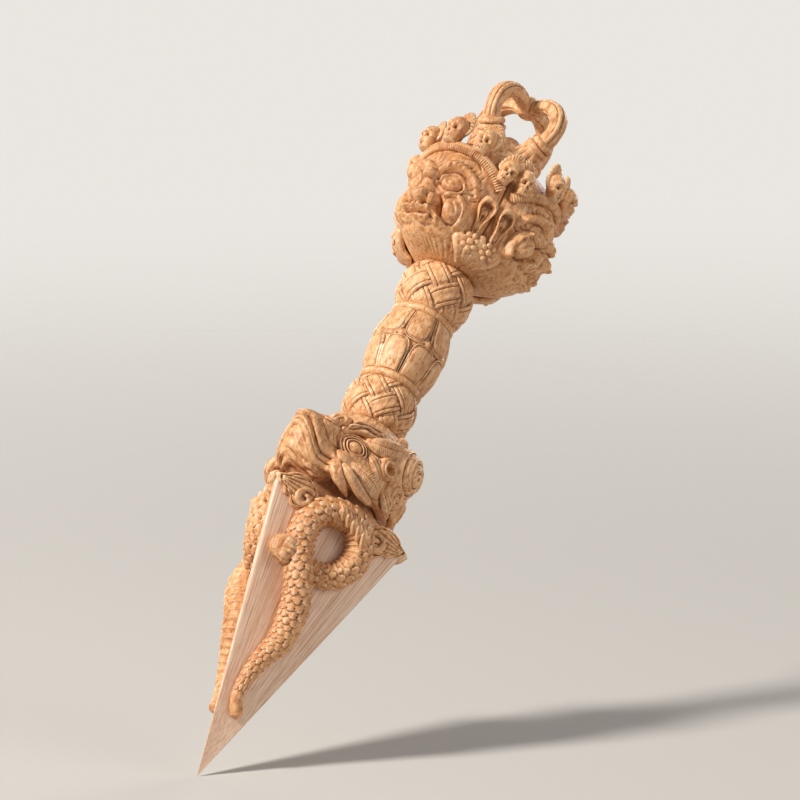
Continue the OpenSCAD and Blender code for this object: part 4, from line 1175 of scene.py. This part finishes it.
def skullMeshes():
    def shape(u, v):
        angle, z = (u - 0.5) * 2 * math.pi, 0.2 + 5.9 * np.clip((v - 0.03) / 0.94, 0, 1)
        dome = root(1 - ((z - 3.9) / 2.25) ** 2) * 2.15
        jaw = 1.32 + 0.25 * ease(0.2, 0.8, z) + 0.35 * hill(z, 2.3, 1.1)
        body = np.maximum(np.where(z > 1.7, dome, 0), np.where(z < 3.3, jaw * ease(3.4, 2.4, z) ** 0.5, 0))
        x, front = np.sin(angle), np.cos(angle)
        reach = body * (1 + 0.12 * np.clip(front, 0, 1) * hill(z, 1.6, 1.6))
        side = x * reach
        ahead = front > 0
        for eye in (-1, 1):
            reach = reach - np.where(ahead, 1.0 * hill(np.hypot(side - eye * 0.92, z - 2.85), 0, 0.8), 0)
            reach = reach + np.where(ahead, 0.35 * hill(side, eye * 1.0, 0.9) * hill(z, 3.75, 0.5), 0)
        reach = reach - np.where(ahead, 0.7 * hill(side, 0, 0.42) * hill(z, 2.0, 0.62), 0)
        teeth = np.where(ahead & (z > 0.45) & (z < 1.35), 0.22 * (saw(side / 0.52) < 0.35), 0)
        teeth = teeth + np.where(ahead, 0.3 * crest(z, 0.9, 0.1), 0)
        reach = reach - teeth * hill(side, 0, 1.5)
        reach = reach * np.sqrt(np.clip(np.minimum(v, 1 - v) / 0.03, 0, 1))
        return np.stack([x * reach * 0.98, -front * reach * 0.95, z], axis=1)

    def outline(angle):  # a leaf, round below and pointed above, with a scalloped rim
        reach = 1 + 0.035 * np.cos(angle * 22) * ease(-0.5, 0.2, np.sin(angle))
        rise = (3.2 + np.sin(angle)) * np.sin(angle) * reach
        return 2.75 * np.cos(angle) * reach * (1 - 0.12 * np.sin(angle)), rise

    def flutes(angle, share):
        rays = saw(angle * 22 / (2 * math.pi)) * ease(-0.6, 0, np.sin(angle))
        return 0.55 * np.sqrt(1 - share ** 4) + 0.22 * share * rays * (1 - share ** 8)
    halo = plate(outline, flutes, bowed(0.5), 110, 9)
    halo.transform(Matrix.Translation((0, 0.75, 4.5)))
    return [wrap(60, 46, shape), halo]


def crownMeshes():
    meshes = [bandMesh()]
    for k in range(-2, 3):
        angle = k * crown["step"]
        y = float(crownHeight(angle))
        reach = float(headBody(np.array([float(angle)]), np.array([y]))[0]) + crown["lift"]
        place = Vector(around(angle, reach, y + heads["foot"]).tolist())
        spot = Matrix.Translation(place) @ turned(k * 9, "Y") @ turned(angle, "Z") @ turned(-10, "X")
        size = Matrix.Scale(1.2 - 0.1 * abs(k), 4)
        meshes += [placed(mesh, size, spot) for mesh in skullMeshes()]
    return meshes


for name, azimuth in (("crown_front", 0), ("crown_right", 120), ("crown_left", 240)):
    turn = turned(azimuth, "Z")
    piece(name.replace("crown", "skulls"), [placed(mesh, turn) for mesh in crownMeshes()], name, amber)

# Finial: stepped hub, four leaning arms with ringed feet, and four grooved prongs
print("finial")
finial = {
    "foot": 159.6, "hub": 8.5, "reach": 9.3, "lean": 38, "arc": 5.9, "thick": 4,
    "hubGrid": (288, 70), "armGrid": (96, 90),
    "azimuths": {"prong_front": 0, "prong_right": 90, "prong_back": 180, "prong_left": 270},
}
finial["top"] = finial["foot"] + finial["hub"]
finial["arcX"] = finial["reach"] - finial["arc"] * math.cos(math.radians(finial["lean"]))
finial["arcZ"] = finial["top"] + finial["arc"] * math.sin(math.radians(finial["lean"]))


def hubMesh():
    marks = np.array([(0, 8.8), (0.05, 8.9), (0.2, 8.2), (0.3, 7.4), (0.36, 6.2), (0.44, 6.0), (0.5, 6.1),
                      (0.6, 5.6), (0.8, 3.6), (1, 1.6)])

    def surface(azimuth, z):
        t = (z - finial["foot"]) / finial["hub"]
        plain = np.interp(t, marks[:, 0], marks[:, 1])
        petal = 1 - saw(azimuth / 360 * 16) ** 2
        return plain + 0.3 * petal * hill(t, 0.16, 0.22) - 0.35 * crest(t, 0.31, 0.03)
    return lathe(finial["hubGrid"], finial["foot"], finial["top"], surface)


def armMesh():
    def surface(azimuth, z):
        cone = np.interp(z, (-8.5, -1.6, 0), (4.1, 2.6, 2.3))
        rings = 0.55 * root(1 - ((z + 0.75) / 0.72) ** 2) + 0.42 * root(1 - ((z + 2.3) / 0.6) ** 2)
        flutes = 0.4 * saw(azimuth / 360 * 11) ** 2 * hill(z, -5.6, 2.9)
        return cone + rings - flutes
    return lathe(finial["armGrid"], -8.5, 0, surface)


def prongMesh():
    angle = np.radians(np.linspace(-finial["lean"] - 4, 143, 150))
    path = np.stack([0 * angle, -(finial["arcX"] + finial["arc"] * np.cos(angle)),
                     finial["arcZ"] + finial["arc"] * np.sin(angle)], axis=1)
    away = np.stack([0 * angle, -np.cos(angle), np.sin(angle)], axis=1)
    share = np.linspace(0, 1, len(angle))
    swell = 1.0 - 0.1 * ease(0, 0.2, share) + 0.1 * hill(share, 0.45, 0.3) - 0.12 * ease(0.6, 1, share)
    width = finial["thick"] / 2 * swell
    width = width * np.sqrt(np.clip(np.minimum(share / 0.01, (1 - share) / 0.03), 0, 1))

    def section(turn, v):
        turn = (turn + math.pi) % (2 * math.pi) - math.pi
        square = (np.abs(np.cos(turn)) ** 3 + np.abs(np.sin(turn)) ** 3) ** (-1 / 3)
        grooves = sum(depth * crest(np.abs(turn), middle, 0.11) for middle,
                      depth in ((0.42, 0.2), (1.12, 0.13), (2.5, 0.12)))
        return square * 0.93 - grooves * ease(0, 0.07, v) * ease(1, 0.8, v)
    return strand(path, width, away, 64, section)


arms = [hubMesh()]
for azimuth in finial["azimuths"].values():
    spot = onMantle(azimuth, finial["reach"], finial["top"]) @ turned(finial["lean"], "X")
    arms.append(placed(armMesh(), spot))
piece("lotusHub", arms, "finial_hub", honey)
for name, azimuth in finial["azimuths"].items():
    piece(name.replace("prong", "loop"), [placed(prongMesh(), turned(azimuth, "Z"))], name, honey)
saddle = finial["arcZ"] + math.sqrt((finial["arc"] + finial["thick"] / 2) ** 2 - finial["arcX"] ** 2)
piece("topButton", [ball((0, 0, saddle - 0.2), (2.0, 2.0, 2.1), detail=4)], "finial_button", honey)

# The dowel, which is still shown from the frame
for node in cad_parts.values():
    if not node.hide_render:
        node.data.materials.clear()
        node.data.materials.append(dowelWood)

# Studio: a pale floor under the point, a pale room and soft lights
print("studio")
tilt = math.radians(photo["tilt"])
floorUp = math.cos(tilt) * up + math.sin(tilt) * back
floorSide = right


def floorMaterial():
    material = bpy.data.materials.new("paleFloor")
    material.use_nodes = True
    tree = material.node_tree
    shader = next(n for n in tree.nodes if n.type == "BSDF_PRINCIPLED")
    output = next(n for n in tree.nodes if n.type == "OUTPUT_MATERIAL")
    shader.inputs["Base Color"].default_value = (0.46, 0.445, 0.42, 1)
    shader.inputs["Roughness"].default_value = 0.8
    place = tree.nodes.new("ShaderNodeTexCoord").outputs["Object"]
    distance = wire(tree, "ShaderNodeVectorMath", operation="LENGTH", n0=place).outputs["Value"]
    clear = wire(tree, "ShaderNodeBsdfTransparent")
    gone = math2(tree, "MAXIMUM", span(tree, distance, 0.25, 1.1),
                 tree.nodes.new("ShaderNodeNewGeometry").outputs["Backfacing"])
    mixed = wire(tree, "ShaderNodeMixShader", Fac=gone, n1=shader.outputs[0], n2=clear.outputs[0])
    tree.links.new(mixed.outputs[0], output.inputs["Surface"])
    return material


def floorMesh():
    sheet = bmesh.new()
    bmesh.ops.create_circle(sheet, cap_ends=True, segments=96, radius=1.2)
    mesh = bpy.data.meshes.new("floor")
    sheet.to_mesh(mesh)
    sheet.free()
    mesh.materials.append(floorMaterial())
    return mesh


floor = bpy.data.objects.new("floor", floorMesh())
floor.matrix_world = facing((floorSide, np.cross(floorUp, floorSide), floorUp), (0, 0, 0))
bpy.context.scene.collection.objects.link(floor)


def softLight(name, place, size, power, colour):  # an area light at a place given along right, up and back
    lamp = bpy.data.objects.new(name, bpy.data.lights.new(name, "AREA"))
    lamp.data.shape = "DISK"
    lamp.data.size = size
    lamp.data.energy = power
    lamp.data.color = colour
    spot = aim + place[0] * right + place[1] * up + place[2] * back
    away = (spot - aim) / np.linalg.norm(spot - aim)
    side = np.cross((0.02, 0.01, 1), away)
    side /= np.linalg.norm(side)
    lamp.matrix_world = facing((side, np.cross(away, side), away), spot)
    bpy.context.scene.collection.objects.link(lamp)


softLight("key", (-0.95, 0.85, 0.55), 0.3, 28, (1, 0.96, 0.91))
softLight("fill", (1.1, 0.4, 0.8), 0.9, 6, (1, 0.97, 0.94))
softLight("rim", (0.7, 0.5, -1.0), 0.6, 6, (1, 0.97, 0.94))
softLight("behind", (-0.4, 0.2, -1.2), 0.8, 5, (1, 0.97, 0.94))

world = bpy.data.worlds.new("paleRoom")
world.use_nodes = True
bpy.context.scene.world = world
tree = world.node_tree
glow = next(n for n in tree.nodes if n.type == "BACKGROUND")
end = next(n for n in tree.nodes if n.type == "OUTPUT_WORLD")
glow.inputs["Color"].default_value = (0.95, 0.93, 0.9, 1)
glow.inputs["Strength"].default_value = 0.24
wall = wire(tree, "ShaderNodeBackground", Color=(0.82, 0.79, 0.75, 1), Strength=1)
choice = wire(tree, "ShaderNodeMixShader", Fac=tree.nodes.new("ShaderNodeLightPath").outputs["Is Camera Ray"],
              n1=glow.outputs[0], n2=wall.outputs[0])
tree.links.new(choice.outputs[0], end.inputs["Surface"])
bpy.context.scene.view_settings.view_transform = "Standard"
